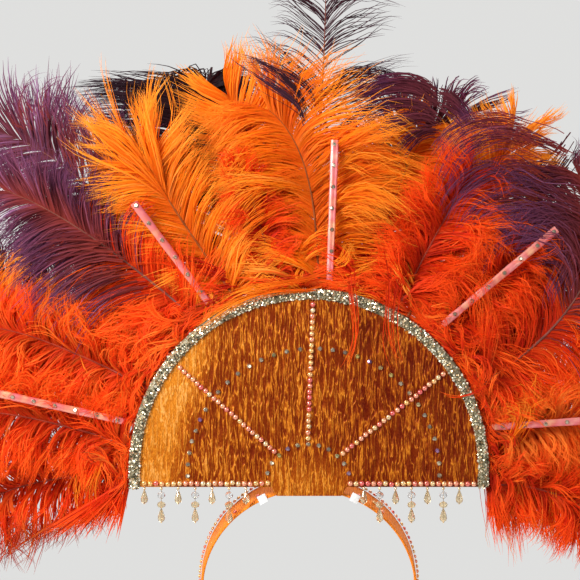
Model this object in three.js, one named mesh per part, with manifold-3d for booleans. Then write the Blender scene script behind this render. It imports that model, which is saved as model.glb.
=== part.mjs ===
// Carnival feather headdress, millimetres, +Z up.
// The origin is the middle of the head band's inner surface, where it sits on top of the head.
// +Y is the way the wearer faces and +X is the wearer's right, so the decorated back faces -Y.
import * as THREE from 'three';
import { mergeVertices } from 'three/addons/utils/BufferGeometryUtils.js';
import Module from 'manifold-3d';

const wasm = await Module();
wasm.setup();

// Driving dimensions
const GAP = 0.3;
const DEG = Math.PI / 180;

const BAND = {
  halfWidth: 106, height: 100, wall: 3, depth: 32, endDepth: 20, rise: 10, stations: 25,
};
const PANEL = {
  radius: 180, centreZ: 23.5, hemZ: 5, backPlate: 3, slot: 4.6, frontPlate: 2.4, slotDepth: 25,
  tongueHalf: 38, tongueZ: -4, arcSteps: 48,
};
const BACK_FACE = -BAND.depth / 2 - GAP - PANEL.backPlate;
const SLOT_Y = BACK_FACE + PANEL.backPlate + PANEL.slot / 2;
const QUILL_RADIUS = PANEL.slot / 2 - GAP;

const STONE = { tableRadius: 1.5, radius: 2.5, height: 2, facets: 8, sunk: 0.4 };
const LARGE_ARC = { x: 4.5, z: 17.5, radius: 126 };
const LARGE_ARC_RUNS = [
  { from: 180.7, to: 148.9, stones: 7 },
  { from: 139.2, to: 96.0, stones: 8 },
  { from: 87.1, to: 40.3, stones: 9 },
  { from: 33.7, to: -0.4, stones: 7 },
];
const SMALL_ARC = { x: -1, z: 5, radius: 43 };
const SMALL_ARC_RUNS = [{ from: 160.6, to: 18.7, stones: 11 }];

const BEAD = { radius: 2.7, height: 2.5, pitch: 5.75 };
const SPOKES = [
  { name: 'centre', from: [4, 187.5], to: [-1, 53.9] },
  { name: 'left', from: [-129, 124], to: [-35, 40.7] },
  { name: 'right', from: [133.9, 118], to: [33.9, 39] },
];
const HEMS = [
  { name: 'left', from: -164.6, to: -41.2 },
  { name: 'right', from: 41.2, to: 164.6 },
];
const HEM_Z = 8.5;

const TRIM = { inner: 168.6, outer: 180, high: 6, low: 4.4, dip: 0.7, steps: 60, legSteps: 2 };

const DROP_Y = BACK_FACE - 2.2;
const DROP_TOP = HEM_Z - BEAD.radius - GAP;
const DROPS_LEFT = { first: -164.4, pitch: 16.9, longFirst: false };
const DROPS_RIGHT = { first: 54.6, pitch: 15.9, longFirst: false };
const DROPS_A_SIDE = 7;
// Radius and height down from the hem: seed, clear rondelle, champagne rondelle, teardrop, knob
const LONG_DROP = [
  [0.9, 0], [0.9, -4.1], [4, -8.5], [0.9, -12.3], [0.9, -14.4], [4.25, -18],
  [0.9, -21.9], [3.5, -30.5], [1.2, -35], [0, -36.5],
];
// Radius and height down from the hem: seed, teardrop, knob
const SHORT_DROP = [[0.9, 0], [0.9, -4], [3.8, -12], [1.2, -16.2], [0, -17.7]];
const DROP_FACETS = 8;

const STAVE = { rimWidth: 6.6, tipWidth: 8.2, rootRadius: 158 };
const STAVES = [
  { name: 'centre', rim: [20.5, 203], tip: [26, 352.4] },
  { name: 'upper_left', rim: [-92.4, 178.2], tip: [-175.8, 289.5] },
  { name: 'upper_right', rim: [121.5, 156.5], tip: [248.5, 263] },
  { name: 'lower_left', rim: [-174.6, 67.7], tip: [-322, 100.4] },
  { name: 'lower_right', rim: [180, 64.1], tip: [327, 74.1] },
];

const TAB = { size: 9, thick: 1.5, left: [-46.5, -7.5], right: [46, -6.5], tilt: 27 };

// Plume layers, from the panel outwards: depth in Y, barb cup (Y for each mm of half width) and
// lean of the tip in Y
const LAYERS = {
  inner: { y: 3, cup: -0.06, lean: 0 },
  middle: { y: 27, cup: 0.05, lean: 6 },
  outer: { y: 51, cup: 0.16, lean: 26 },
};
const RED = 0xe8451c;
const ORANGE = 0xf08a1e;
const PURPLE = 0x55304f;
// Each plume: rim angle, tilt of its quill off the radius, reach along the shaft from the rim,
// even bend and tip curl, in degrees counterclockwise seen from behind, half width of its vane
// and dye
const PLUMES = [
  { layer: 'inner', angle: -5, tilt: 0, reach: 150, bend: -46, curl: -30, half: 40, dye: RED },
  { layer: 'inner', angle: 9.6, tilt: 3, reach: 160, bend: -14, curl: -20, half: 42, dye: RED },
  { layer: 'inner', angle: 24.5, tilt: 6, reach: 275, bend: 70, curl: 30, half: 50, dye: PURPLE },
  { layer: 'inner', angle: 44, tilt: 2, reach: 120, bend: 6, curl: 0, half: 40, dye: RED },
  { layer: 'inner', angle: 61, tilt: 0, reach: 150, bend: 4, curl: -10, half: 52, dye: RED },
  { layer: 'inner', angle: 86.2, tilt: 5, reach: 190, bend: 22, curl: 30, half: 50, dye: ORANGE },
  { layer: 'inner', angle: 99, tilt: 6, reach: 130, bend: 6, curl: 0, half: 30, dye: RED },
  { layer: 'inner', angle: 111.4, tilt: 14, reach: 225, bend: -4, curl: -20, half: 46, dye: ORANGE },
  { layer: 'inner', angle: 125, tilt: 15, reach: 240, bend: 10, curl: 10, half: 42, dye: PURPLE },
  { layer: 'inner', angle: 154, tilt: 0, reach: 190, bend: 8, curl: 20, half: 48, dye: RED },
  { layer: 'inner', angle: 175, tilt: -12, reach: 215, bend: 12, curl: 30, half: 54, dye: RED },
  { layer: 'middle', angle: 4, tilt: 0, reach: 215, bend: -34, curl: -30, half: 56, dye: ORANGE },
  { layer: 'middle', angle: 19.3, tilt: 2, reach: 210, bend: -12, curl: -20, half: 50, dye: RED },
  { layer: 'middle', angle: 35, tilt: 4, reach: 200, bend: 0, curl: -10, half: 50, dye: RED },
  { layer: 'middle', angle: 56.8, tilt: 1, reach: 208, bend: 0, curl: 4, half: 46, dye: ORANGE },
  { layer: 'middle', angle: 72, tilt: 0, reach: 178, bend: 0, curl: -16, half: 44, dye: ORANGE },
  { layer: 'middle', angle: 93, tilt: 11, reach: 208, bend: 8, curl: 10, half: 50, dye: ORANGE },
  { layer: 'middle', angle: 136, tilt: -4, reach: 150, bend: 0, curl: 0, half: 40, dye: RED },
  { layer: 'middle', angle: 152, tilt: 3, reach: 225, bend: 8, curl: 20, half: 48, dye: ORANGE },
  { layer: 'middle', angle: 183, tilt: 0, reach: 215, bend: 26, curl: 40, half: 56, dye: RED },
  { layer: 'outer', angle: 0.5, tilt: 0, reach: 245, bend: -20, curl: -30, half: 58, dye: ORANGE },
  { layer: 'outer', angle: 39.5, tilt: 0, reach: 255, bend: -2, curl: -30, half: 56, dye: PURPLE },
  { layer: 'outer', angle: 74, tilt: 0, reach: 246, bend: 4, curl: -120, half: 50, dye: PURPLE },
  { layer: 'outer', angle: 89.4, tilt: -2.8, reach: 355, bend: 0, curl: 4, half: 52, dye: PURPLE },
  { layer: 'outer', angle: 108.5, tilt: 1, reach: 248, bend: 2, curl: -50, half: 58, dye: PURPLE },
  { layer: 'outer', angle: 131.5, tilt: -10, reach: 310, bend: 32, curl: 10, half: 52, dye: PURPLE },
  { layer: 'outer', angle: 147.5, tilt: 2, reach: 270, bend: 10, curl: 30, half: 48, dye: PURPLE },
  { layer: 'outer', angle: 170, tilt: 0, reach: 250, bend: 14, curl: 40, half: 54, dye: ORANGE },
];
// Radius where a quill starts and where its bend starts, length over which a plume reaches its
// layer and its width, widest wedge for a full vane, and the section of the vane and its locks
const PLUME = {
  root: 158, leave: 184, settle: 44, spread: 4, fill: 34, wedge: 0.165, fullHalf: 60, thick: 7,
  sweep: 0.42, notch: 0.7, stations: 14, tipThick: 1.6,
};

// Materials
const finish = (color, roughness, metalness) =>
  new THREE.MeshStandardMaterial({ color, roughness, metalness });
const satin = () => finish(0xc8701c, 0.38, 0.25);
const pearlStone = () => finish(0xf2a080, 0.25, 0.3);
const silverBraid = () => finish(0xb9b09a, 0.35, 0.6);
const crystal = () => finish(0xd9c49a, 0.12, 0.1);
const iridescent = () => finish(0xf0907c, 0.3, 0.3);
const whiteTab = () => finish(0xececec, 0.7, 0);
const feather = (color) => finish(color, 0.85, 0);

const headdress = new THREE.Group();

function addPiece(name, geometry, material) {
  const mesh = new THREE.Mesh(geometry, material);
  mesh.name = name;
  headdress.add(mesh);
  return mesh;
}

const smooth = (x) => {
  const t = Math.min(1, Math.max(0, x));
  return t * t * (3 - 2 * t);
};

// Closed solid through rings of points with the same count, flat or fanned at both ends
function loft(rings) {
  const sides = rings[0].length;
  const points = rings.flat();
  const faces = [];
  for (let ring = 0; ring < rings.length - 1; ring++) {
    for (let k = 0; k < sides; k++) {
      const a = ring * sides + k;
      const b = ring * sides + ((k + 1) % sides);
      faces.push([a, b, b + sides], [a, b + sides, a + sides]);
    }
  }
  const last = (rings.length - 1) * sides;
  for (let k = 1; k < sides - 1; k++) {
    faces.push([0, k + 1, k], [last, last + k, last + k + 1]);
  }
  return closedGeometry(points, faces);
}

// Indexed geometry with its faces turned to point out
function closedGeometry(points, faces) {
  const volume = faces.reduce((sum, [a, b, c]) => {
    const cross = new THREE.Vector3().crossVectors(points[b], points[c]);
    return sum + points[a].dot(cross);
  }, 0);
  const turned = volume < 0 ? faces.map(([a, b, c]) => [a, c, b]) : faces;
  const geometry = new THREE.BufferGeometry().setFromPoints(points);
  geometry.setIndex(turned.flat());
  geometry.computeVertexNormals();
  return geometry;
}

// Solids to join and cut
function solidOf(geometry) {
  const bare = geometry.clone();
  bare.deleteAttribute('normal');
  bare.deleteAttribute('uv');
  const merged = mergeVertices(bare, 1e-4);
  return new wasm.Manifold(new wasm.Mesh({
    numProp: 3,
    vertProperties: new Float32Array(merged.attributes.position.array),
    triVerts: new Uint32Array(merged.index.array),
  }));
}

function geometryOf(solid) {
  const mesh = solid.getMesh();
  const geometry = new THREE.BufferGeometry();
  geometry.setAttribute('position', new THREE.BufferAttribute(mesh.vertProperties, 3));
  geometry.setIndex(new THREE.BufferAttribute(mesh.triVerts, 1));
  geometry.computeVertexNormals();
  return geometry;
}

// Upright plate with its outline in XZ and its back face at y
function plate(outline, y, thickness) {
  const shape = new THREE.Shape(outline);
  const geometry = new THREE.ExtrudeGeometry(shape, { depth: thickness, bevelEnabled: false });
  geometry.rotateX(Math.PI / 2);
  geometry.translate(0, y + thickness, 0);
  return geometry;
}

// Arch of the head band: one ring of the section at each station, from an inner offset and grown
// on its other sides for clearance
function bandRings(inner, grow) {
  const rings = [];
  for (let k = 0; k < BAND.stations; k++) {
    const angle = (Math.PI * k) / (BAND.stations - 1);
    const top = Math.sin(angle);
    const depth = BAND.endDepth + (BAND.depth - BAND.endDepth) * smooth(top * 1.6);
    const back = -BAND.depth / 2 - grow;
    const front = -BAND.depth / 2 + depth + grow;
    const rise = BAND.rise * top;
    rings.push([
      archPoint(angle, inner, back),
      archPoint(angle, BAND.wall + grow, back),
      archPoint(angle, BAND.wall + grow + rise, front),
      archPoint(angle, inner + rise, front),
    ]);
  }
  return rings;
}

// Point on the arch, offset outwards from its inner surface
function archPoint(angle, offset, y) {
  const x = Math.cos(angle) * (BAND.halfWidth + offset);
  const z = -BAND.height + Math.sin(angle) * (BAND.height + offset);
  return new THREE.Vector3(x, y, z);
}

// Outline of the panel, set in from the arch and both legs, with a tongue that ends at tongueZ
function panelOutline(inset, tongueZ) {
  const radius = PANEL.radius - inset;
  const outline = [new THREE.Vector2(radius, PANEL.hemZ)];
  for (let k = 0; k <= PANEL.arcSteps; k++) {
    const angle = (Math.PI * k) / PANEL.arcSteps;
    outline.push(new THREE.Vector2(
      radius * Math.cos(angle), PANEL.centreZ + radius * Math.sin(angle)));
  }
  outline.push(new THREE.Vector2(-radius, PANEL.hemZ));
  outline.push(new THREE.Vector2(-PANEL.tongueHalf, PANEL.hemZ));
  outline.push(new THREE.Vector2(-PANEL.tongueHalf + 5, tongueZ));
  outline.push(new THREE.Vector2(PANEL.tongueHalf - 5, tongueZ));
  outline.push(new THREE.Vector2(PANEL.tongueHalf, PANEL.hemZ));
  return outline;
}

// Stones equally spaced on arcs, each with its table towards the viewer behind
function arcStones(arc, runs) {
  const stones = [];
  for (const run of runs) {
    for (let k = 0; k < run.stones; k++) {
      const angle = (run.from + ((run.to - run.from) * k) / (run.stones - 1)) * DEG;
      const length = STONE.height + STONE.sunk;
      const stone = new THREE.CylinderGeometry(
        STONE.radius, STONE.tableRadius, length, STONE.facets);
      stone.translate(
        arc.x + arc.radius * Math.cos(angle),
        BACK_FACE - STONE.height + length / 2,
        arc.z + arc.radius * Math.sin(angle));
      stones.push(stone);
    }
  }
  return stones;
}

function addPanel() {
  const { backPlate, slot, frontPlate, slotDepth, tongueZ } = PANEL;
  const slotBack = BACK_FACE + backPlate;
  const bite = 0.5;
  let solid = solidOf(plate(panelOutline(0, tongueZ), BACK_FACE, backPlate));
  solid = solid.add(solidOf(
    plate(panelOutline(slotDepth, tongueZ), slotBack - bite, slot + 2 * bite)));
  solid = solid.add(solidOf(plate(panelOutline(0, tongueZ), slotBack + slot, frontPlate)));
  solid = solid.subtract(solidOf(loft(bandRings(-BAND.height / 2, GAP))));
  const stones = [...arcStones(LARGE_ARC, LARGE_ARC_RUNS), ...arcStones(SMALL_ARC, SMALL_ARC_RUNS)];
  for (const stone of stones) solid = solid.add(solidOf(stone));
  addPiece('fan_panel', geometryOf(solid), satin());
}

// Half round section on the panel's back face: a foot on each side and two points on top
function raisedSection(centre, across, halfWidth, height) {
  const base = BACK_FACE - GAP;
  const at = (offset, rise) => new THREE.Vector3(
    centre.x + across.x * offset, base - rise, centre.y + across.y * offset);
  return [at(-halfWidth, 0), at(-0.55 * halfWidth, height), at(0.55 * halfWidth, height),
    at(halfWidth, 0)];
}

// Row of round stones on one line, joined by the thread between them
function beadRow(from, to) {
  const start = new THREE.Vector2(...from);
  const along = new THREE.Vector2(...to).sub(start);
  const length = along.length();
  along.normalize();
  const across = new THREE.Vector2(-along.y, along.x);
  const count = Math.round(length / BEAD.pitch) + 1;
  const pitch = length / (count - 1);
  const rings = [];
  for (let bead = 0; bead < count; bead++) {
    for (let k = 0; k < 5; k++) {
      const angle = (18 + 36 * k) * DEG;
      const offset = -BEAD.radius * Math.cos(angle);
      const half = BEAD.radius * Math.sin(angle);
      const centre = start.clone().addScaledVector(along, bead * pitch + offset);
      const height = BEAD.height * Math.sin(angle) ** 0.8;
      rings.push(raisedSection(centre, across, half, height));
    }
  }
  return loft(rings);
}

function addBeadRows() {
  for (const spoke of SPOKES) {
    addPiece(`spoke_beads_${spoke.name}`, beadRow(spoke.from, spoke.to), pearlStone());
  }
  const across = new THREE.Vector2(0, 1);
  for (const hem of HEMS) {
    const ends = [hem.from, hem.to].map((x) => new THREE.Vector2(x, HEM_Z));
    const bar = loft(ends.map((end) => raisedSection(end, across, BEAD.radius, BEAD.height)));
    addPiece(`hem_beads_${hem.name}`, bar, pearlStone());
  }
}

// Bumpy braid along both legs and the arch
function addTrim() {
  const middle = (TRIM.inner + TRIM.outer) / 2;
  const half = (TRIM.outer - TRIM.inner) / 2;
  const rings = [];
  const addRing = (x, z, across) => {
    const raised = rings.length % 2 === 0;
    const height = raised ? TRIM.high : TRIM.low;
    const width = raised ? half : half - TRIM.dip;
    rings.push(raisedSection(new THREE.Vector2(x, z), across, width, height));
  };
  const legStep = (PANEL.centreZ - PANEL.hemZ) / TRIM.legSteps;
  for (let k = 0; k < TRIM.legSteps; k++) {
    addRing(middle, PANEL.hemZ + k * legStep, new THREE.Vector2(1, 0));
  }
  for (let k = 0; k <= TRIM.steps; k++) {
    const angle = (Math.PI * k) / TRIM.steps;
    const across = new THREE.Vector2(Math.cos(angle), Math.sin(angle));
    addRing(middle * across.x, PANEL.centreZ + middle * across.y, across);
  }
  for (let k = TRIM.legSteps - 1; k >= 0; k--) {
    addRing(-middle, PANEL.hemZ + k * legStep, new THREE.Vector2(-1, 0));
  }
  addPiece('edge_trim', loft(rings), silverBraid());
}

function addDrops() {
  let number = 1;
  for (const side of [DROPS_LEFT, DROPS_RIGHT]) {
    for (let k = 0; k < DROPS_A_SIDE; k++) {
      const profile = (k % 2 === 1) === !side.longFirst ? LONG_DROP : SHORT_DROP;
      const outline = [[0, 0], ...profile].map(([r, z]) => new THREE.Vector2(r, z));
      const geometry = new THREE.LatheGeometry(outline.reverse(), DROP_FACETS);
      geometry.rotateX(Math.PI / 2);
      const drop = addPiece(`drop_${String(number).padStart(2, '0')}`, geometry, crystal());
      drop.position.set(side.first + k * side.pitch, DROP_Y, DROP_TOP);
      number += 1;
    }
  }
}

// Flat stave from the bottom of the rim slot to its tip, a little wider at the tip
function addStaves() {
  for (const stave of STAVES) {
    const rim = new THREE.Vector2(...stave.rim);
    const tip = new THREE.Vector2(...stave.tip);
    const along = tip.clone().sub(rim).normalize();
    const rimRadius = Math.hypot(rim.x, rim.y - PANEL.centreZ);
    const root = rim.clone().addScaledVector(along, STAVE.rootRadius - rimRadius);
    const across = new THREE.Vector2(-along.y, along.x);
    const corner = (point, half) => point.clone().addScaledVector(across, half);
    const outline = [
      corner(root, -STAVE.rimWidth / 2), corner(tip, -STAVE.tipWidth / 2),
      corner(tip, STAVE.tipWidth / 2), corner(root, STAVE.rimWidth / 2),
    ];
    const geometry = plate(outline, SLOT_Y - QUILL_RADIUS, 2 * QUILL_RADIUS);
    addPiece(`stave_${stave.name}`, geometry, iridescent());
  }
}

function addBand() {
  addPiece('head_band', loft(bandRings(0, 0)), satin());
  const rings = [];
  const height = BEAD.height;
  for (let k = 0; k < BAND.stations; k++) {
    const angle = (Math.PI * k) / (BAND.stations - 1);
    const top = Math.sin(angle);
    const depth = BAND.endDepth + (BAND.depth - BAND.endDepth) * smooth(top * 1.6);
    const front = -BAND.depth / 2 + depth;
    const foot = BAND.wall + GAP + BAND.rise * top;
    rings.push([
      archPoint(angle, foot, front),
      archPoint(angle, foot + height, front - 0.8),
      archPoint(angle, foot + height - 0.6, front - 3.2),
      archPoint(angle, foot, front - 4),
    ]);
  }
  addPiece('band_beads', loft(rings), pearlStone());
}

function addTabs() {
  for (const side of ['left', 'right']) {
    const tab = addPiece(
      `hair_tab_${side}`, new THREE.BoxGeometry(TAB.size, TAB.thick, TAB.size), whiteTab());
    const [x, z] = TAB[side];
    tab.position.set(x, -BAND.depth / 2 - GAP - TAB.thick / 2, z);
    tab.rotation.y = (side === 'left' ? -1 : 1) * TAB.tilt * DEG;
  }
}

// Shaft of a plume as stations: a straight quill in the slot, then an even bend and a tip curl
function plumeStations(plume) {
  const layer = LAYERS[plume.layer];
  const total = PLUME.leave - PLUME.root + plume.reach;
  const free = (s) => Math.max(0, (s - (PLUME.leave - PLUME.root)) / plume.reach);
  const quill = plume.angle + plume.tilt;
  const heading = (s) => (quill + plume.bend * free(s) ** 1.5 + plume.curl * free(s) ** 4) * DEG;
  const stationAt = [0, PLUME.leave - PLUME.root];
  for (let k = 1; k <= PLUME.stations - 2; k++) {
    stationAt.push(PLUME.leave - PLUME.root + (plume.reach * k) / (PLUME.stations - 2));
  }
  const step = 0.5;
  const stations = [];
  let x = PLUME.root * Math.cos(plume.angle * DEG);
  let z = PANEL.centreZ + PLUME.root * Math.sin(plume.angle * DEG);
  for (let s = 0; s <= total + step; s += step) {
    while (stationAt.length && s >= stationAt[0] - step / 2) {
      const u = free(stationAt.shift());
      const out = u * plume.reach;
      const y = SLOT_Y + (layer.y - SLOT_Y) * smooth(out / PLUME.settle) + layer.lean * u * u;
      stations.push({ x, y, z, u, out, heading: heading(s) });
    }
    x += Math.cos(heading(s)) * step;
    z += Math.sin(heading(s)) * step;
  }
  return stations;
}

// Half width of the vane: a wedge of the fan that rounds off to a blunt tip
function vaneHalf(plume, station) {
  const radius = PLUME.leave + station.out;
  const full = plume.half * Math.sin(Math.PI * Math.min(1, station.u * 0.96 + 0.03)) ** 0.5;
  const wedge = (radius * PLUME.wedge * plume.half) / PLUME.fullHalf;
  return Math.min(full, wedge) * smooth((station.out - PLUME.spread) / PLUME.fill);
}

// Section of the vane: two edges swept towards the tip and cupped, two ridges above and below
function vaneRing(plume, station, index) {
  const layer = LAYERS[plume.layer];
  const half = vaneHalf(plume, station) * (index % 2 === 0 ? PLUME.notch : 1);
  const thick = QUILL_RADIUS + (PLUME.thick - QUILL_RADIUS) * smooth(half / 30);
  const taper = station.u > 0.9 ? PLUME.tipThick / thick : 1;
  const along = new THREE.Vector3(Math.cos(station.heading), 0, Math.sin(station.heading));
  const side = new THREE.Vector3(-along.z, 0, along.x);
  const centre = new THREE.Vector3(station.x, station.y, station.z);
  const at = (across, rise, share) => centre.clone()
    .addScaledVector(side, across)
    .addScaledVector(along, Math.abs(across) * PLUME.sweep * share)
    .add(new THREE.Vector3(0, rise + Math.abs(across) * layer.cup * share, 0));
  const edge = Math.max(half, QUILL_RADIUS);
  const ridge = Math.max(half * 0.35, QUILL_RADIUS * 0.5);
  const share = smooth(half / 12);
  return [
    at(edge, 0, share), at(ridge, thick * taper, share), at(-ridge, thick * taper, share),
    at(-edge, 0, share), at(-ridge, -thick * taper, share), at(ridge, -thick * taper, share),
  ];
}

function addPlumes() {
  const counts = { inner: 0, middle: 0, outer: 0 };
  for (const plume of PLUMES) {
    counts[plume.layer] += 1;
    const rings = plumeStations(plume).map((station, k) => vaneRing(plume, station, k));
    addPiece(`plume_${plume.layer}_${counts[plume.layer]}`, loft(rings), feather(plume.dye));
  }
}

addPanel();
addTrim();
addBeadRows();
addDrops();
addStaves();
addBand();
addTabs();
addPlumes();

export default headdress;
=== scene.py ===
import math

import bpy
import numpy as np
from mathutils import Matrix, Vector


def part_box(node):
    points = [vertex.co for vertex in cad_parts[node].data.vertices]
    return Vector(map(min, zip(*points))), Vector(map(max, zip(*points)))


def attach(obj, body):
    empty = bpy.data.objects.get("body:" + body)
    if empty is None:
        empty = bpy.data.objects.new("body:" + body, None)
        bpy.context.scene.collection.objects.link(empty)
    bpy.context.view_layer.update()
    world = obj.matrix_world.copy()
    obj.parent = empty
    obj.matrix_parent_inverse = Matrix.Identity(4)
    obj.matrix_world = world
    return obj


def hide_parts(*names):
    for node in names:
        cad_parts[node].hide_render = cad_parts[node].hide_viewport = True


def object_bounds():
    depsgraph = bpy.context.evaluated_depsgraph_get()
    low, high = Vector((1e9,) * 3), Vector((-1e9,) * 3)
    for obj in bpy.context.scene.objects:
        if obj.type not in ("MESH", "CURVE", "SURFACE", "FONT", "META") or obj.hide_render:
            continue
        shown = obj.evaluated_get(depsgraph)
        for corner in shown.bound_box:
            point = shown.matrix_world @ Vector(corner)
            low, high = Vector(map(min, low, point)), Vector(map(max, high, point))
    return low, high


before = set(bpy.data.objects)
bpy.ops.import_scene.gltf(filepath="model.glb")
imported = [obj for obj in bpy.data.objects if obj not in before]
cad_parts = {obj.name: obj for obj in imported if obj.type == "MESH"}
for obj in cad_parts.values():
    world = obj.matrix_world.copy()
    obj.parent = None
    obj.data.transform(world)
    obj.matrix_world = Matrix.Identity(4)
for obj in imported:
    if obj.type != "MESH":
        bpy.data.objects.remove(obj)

cad_low, cad_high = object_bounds()

# Sizes in millimetres, as in the part; MM turns them into metres
MM = 0.001
DEG = math.pi / 180

panel_low, panel_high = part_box("fan_panel")
trim_low, trim_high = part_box("edge_trim")
hem_low, hem_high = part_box("hem_beads_left")
band_low, band_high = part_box("head_band")

# Air between pieces that are glued or sewn together
GAP = 0.3
# Back panel: the arch, the lower edge with its tongue, and two plates with the slot between them
PANEL_RADIUS = panel_high.x / MM
PANEL_CENTRE_Z = panel_high.z / MM - PANEL_RADIUS
HEM_Z = trim_low.z / MM
TONGUE_HALF = 38.0
TONGUE_Z = panel_low.z / MM
BACK_FACE = trim_high.y / MM + GAP
BACK_PLATE = 3.0
SLOT = 4.6
FRONT_PLATE = 2.4
SLOT_DEPTH = 25.0
SLOT_Y = BACK_FACE + BACK_PLATE + SLOT / 2
# Height of the point that a cover's inner face is fanned from
LID_CENTRE_Z = 90.0
# Crests of the crinkled satin: width and height of a crest, and its weight
CRESTS = ((3.4, 15, 0.5), (2.2, 9, 0.32), (1.5, 5, 0.18))

# Round stones and the braid, whose feet lie off the back face
FOOT = BACK_FACE - GAP
BEAD_RADIUS = 2.7
BEAD_PITCH = 5.75
HEM_BEAD_Z = (hem_low.z + hem_high.z) / 2 / MM
DOME_RINGS = 4
TRIM_INNER_RADIUS = 168.6
BRAID_HALF_WIDTH = 5.6
# Section of the braid's base: offsets from its middle and heights
BRAID_SECTION = ((-5.6, 0.2), (-3.5, 2.2), (0, 3.0), (3.5, 2.2), (5.6, 0.2))
BRAID_RINGS = 240
# Rows of stones on the braid: offsets, places in a row, and how far every second row is shifted
BRAID_ROWS = (-4.4, -2.2, 0.0, 2.2, 4.4)
BRAID_ROW_STONES = 195
BRAID_STAGGER = 1.4
# Share of the places left empty, and of the stones that are champagne
BRAID_MISSING = 0.03
BRAID_CHAMPAGNE = 0.25

# Drops longer than this have two rondelles; profile of the teardrop down from its top
LONG_DROP = 25
TEARDROP = [(0.7, 0), (1.6, -2.2), (3.1, -6.4), (3.7, -9.4), (3.0, -11.8), (1.2, -13.2)]

# Camera: its distance from the back face, and side and middle of what it sees there
CAMERA_DISTANCE = 1400.0
FRAME_SIDE = 580.0
FRAME_CENTRE = (-19.0, 202.0)
SENSOR = 36.0

# Single stones in arcs: x and z of the middle and radius of the arc, and for each run of stones
# its first and last angle and their number
STONE_RADIUS = 2.5
LARGE_ARC = (4.5, 17.5, 126.0)
LARGE_ARC_RUNS = [(180.7, 148.9, 7), (139.2, 96.0, 8), (87.1, 40.3, 9), (33.7, -0.4, 7)]
SMALL_ARC = (-1.0, 5.0, 43.0)
SMALL_ARC_RUNS = [(160.6, 18.7, 11)]
# Ends of the spoke rows, x and z
SPOKES = {
    "centre": ((4, 187.5), (-1, 53.9)),
    "left": ((-129, 124), (-35, 40.7)),
    "right": ((133.9, 118), (33.9, 39)),
}

# Staves: where they leave the rim and where they end, x and z
STAVES = {
    "centre": ((20.5, 203), (26, 352.4)),
    "upper_left": ((-92.4, 178.2), (-175.8, 289.5)),
    "upper_right": ((121.5, 156.5), (248.5, 263)),
    "lower_left": ((-174.6, 67.7), (-322, 100.4)),
    "lower_right": ((180, 64.1), (327, 74.1)),
}
STAVE_HALF_THICK = SLOT / 2 - GAP
STAVE_RIM_WIDTH = 6.6
STAVE_TIP_WIDTH = 8.2
STAVE_RINGS = 40
# Corners of a stave's section as shares of its half width and half thickness, and how strong the
# painted highlight is at each
STAVE_SECTION = ((-1, -0.4), (-0.8, -1), (0.8, -1), (1, -0.4), (1, 0.4), (0.8, 1), (-0.8, 1),
                 (-1, 0.4))
STAVE_HIGHLIGHT = (0.0, 0.0, 0.35, 0.6, 0.6, 0.35, 0.0, 0.0)
# Stones along a stave: distance of the first from the tip, pitch, and how near the root they end
STAVE_STONES_FROM_TIP = 4
STAVE_STONE_PITCH = 21.5
STAVE_STONES_END = 30

# Depth of each plume layer in Y and lean of its tips
LAYERS = {"inner": (3.0, 0.0), "middle": (27.0, 6.0), "outer": (51.0, 26.0)}
# Each plume: rim angle, tilt, reach, bend, curl, half width, as in the part, then its dye, the
# dye's place on the ramp, the name of its look and how much its barbs hang
PLUMES = {
    "inner": [
        (-5, 0, 150, -46, -30, 40, "red", 0.45, "fluffy", 0.8),
        (9.6, 3, 160, -14, -20, 42, "red", 0.85, "fluffy", 0.6),
        (24.5, 6, 275, 70, 30, 50, "purple", 0.50, "wavy", 0.5),
        (44, 2, 120, 6, 0, 40, "red", 0.30, "fluffy", 0.3),
        (61, 0, 150, 4, -10, 52, "red", 0.40, "fluffy", 0.3),
        (86.2, 5, 190, 22, 30, 50, "orange", 0.50, "draped", 0.5),
        (99, 6, 130, 6, 0, 30, "red", 0.30, "fluffy", 0.3),
        (111.4, 14, 225, -4, -20, 46, "orange", 0.60, "fine", 0.1),
        (125, 15, 240, 10, 10, 42, "purple", 0.55, "fine", 0.5),
        (154, 0, 190, 8, 20, 48, "red", 0.60, "fluffy", 0.5),
        (175, -12, 215, 12, 30, 54, "red", 0.55, "fluffy", 0.7),
    ],
    "middle": [
        (4, 0, 215, -34, -30, 56, "orange", 0.20, "draped", 0.8),
        (19.3, 2, 210, -12, -20, 50, "red", 0.75, "fluffy", 0.6),
        (35, 4, 200, 0, -10, 50, "red", 0.30, "fluffy", 0.3),
        (56.8, 1, 208, 0, 4, 46, "orange", 0.70, "split", 0.0),
        (72, 0, 178, 0, -16, 44, "orange", 0.40, "draped", 0.4),
        (93, 11, 208, 8, 10, 50, "orange", 0.65, "fine", 0.1),
        (136, -4, 150, 0, 0, 40, "red", 0.30, "fluffy", 0.2),
        (152, 3, 225, 8, 20, 48, "orange", 0.35, "draped", 0.5),
        (183, 0, 215, 26, 40, 56, "red", 0.50, "fluffy", 0.8),
    ],
    "outer": [
        (0.5, 0, 245, -20, -30, 58, "orange", 0.20, "draped", 0.8),
        (39.5, 0, 255, -2, -30, 56, "purple", 0.35, "wavy", 0.4),
        (74, 0, 246, 4, -120, 50, "purple", 0.35, "split", 0.2),
        (89.4, -2.8, 355, 0, 4, 52, "purple", 0.45, "sparse", 0.3),
        (108.5, 1, 248, 2, -50, 58, "purple", 0.10, "split", 0.2),
        (131.5, -10, 310, 32, 10, 52, "purple", 0.65, "fine", 0.2),
        (147.5, 2, 270, 10, 30, 48, "purple", 0.45, "wavy", 0.5),
        (170, 0, 250, 14, 40, 54, "orange", 0.30, "draped", 0.7),
    ],
}
# Radius where a quill starts and where its bend starts, and the length over which a plume
# reaches its layer, as in the part
PLUME_ROOT = 158.0
PLUME_LEAVE = 184.0
PLUME_SETTLE = 44.0
# Radius of a shaft at its root, and the share of it that is used
SHAFT_RADIUS = 1.9
SHAFT_SLIM = 0.85
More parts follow.
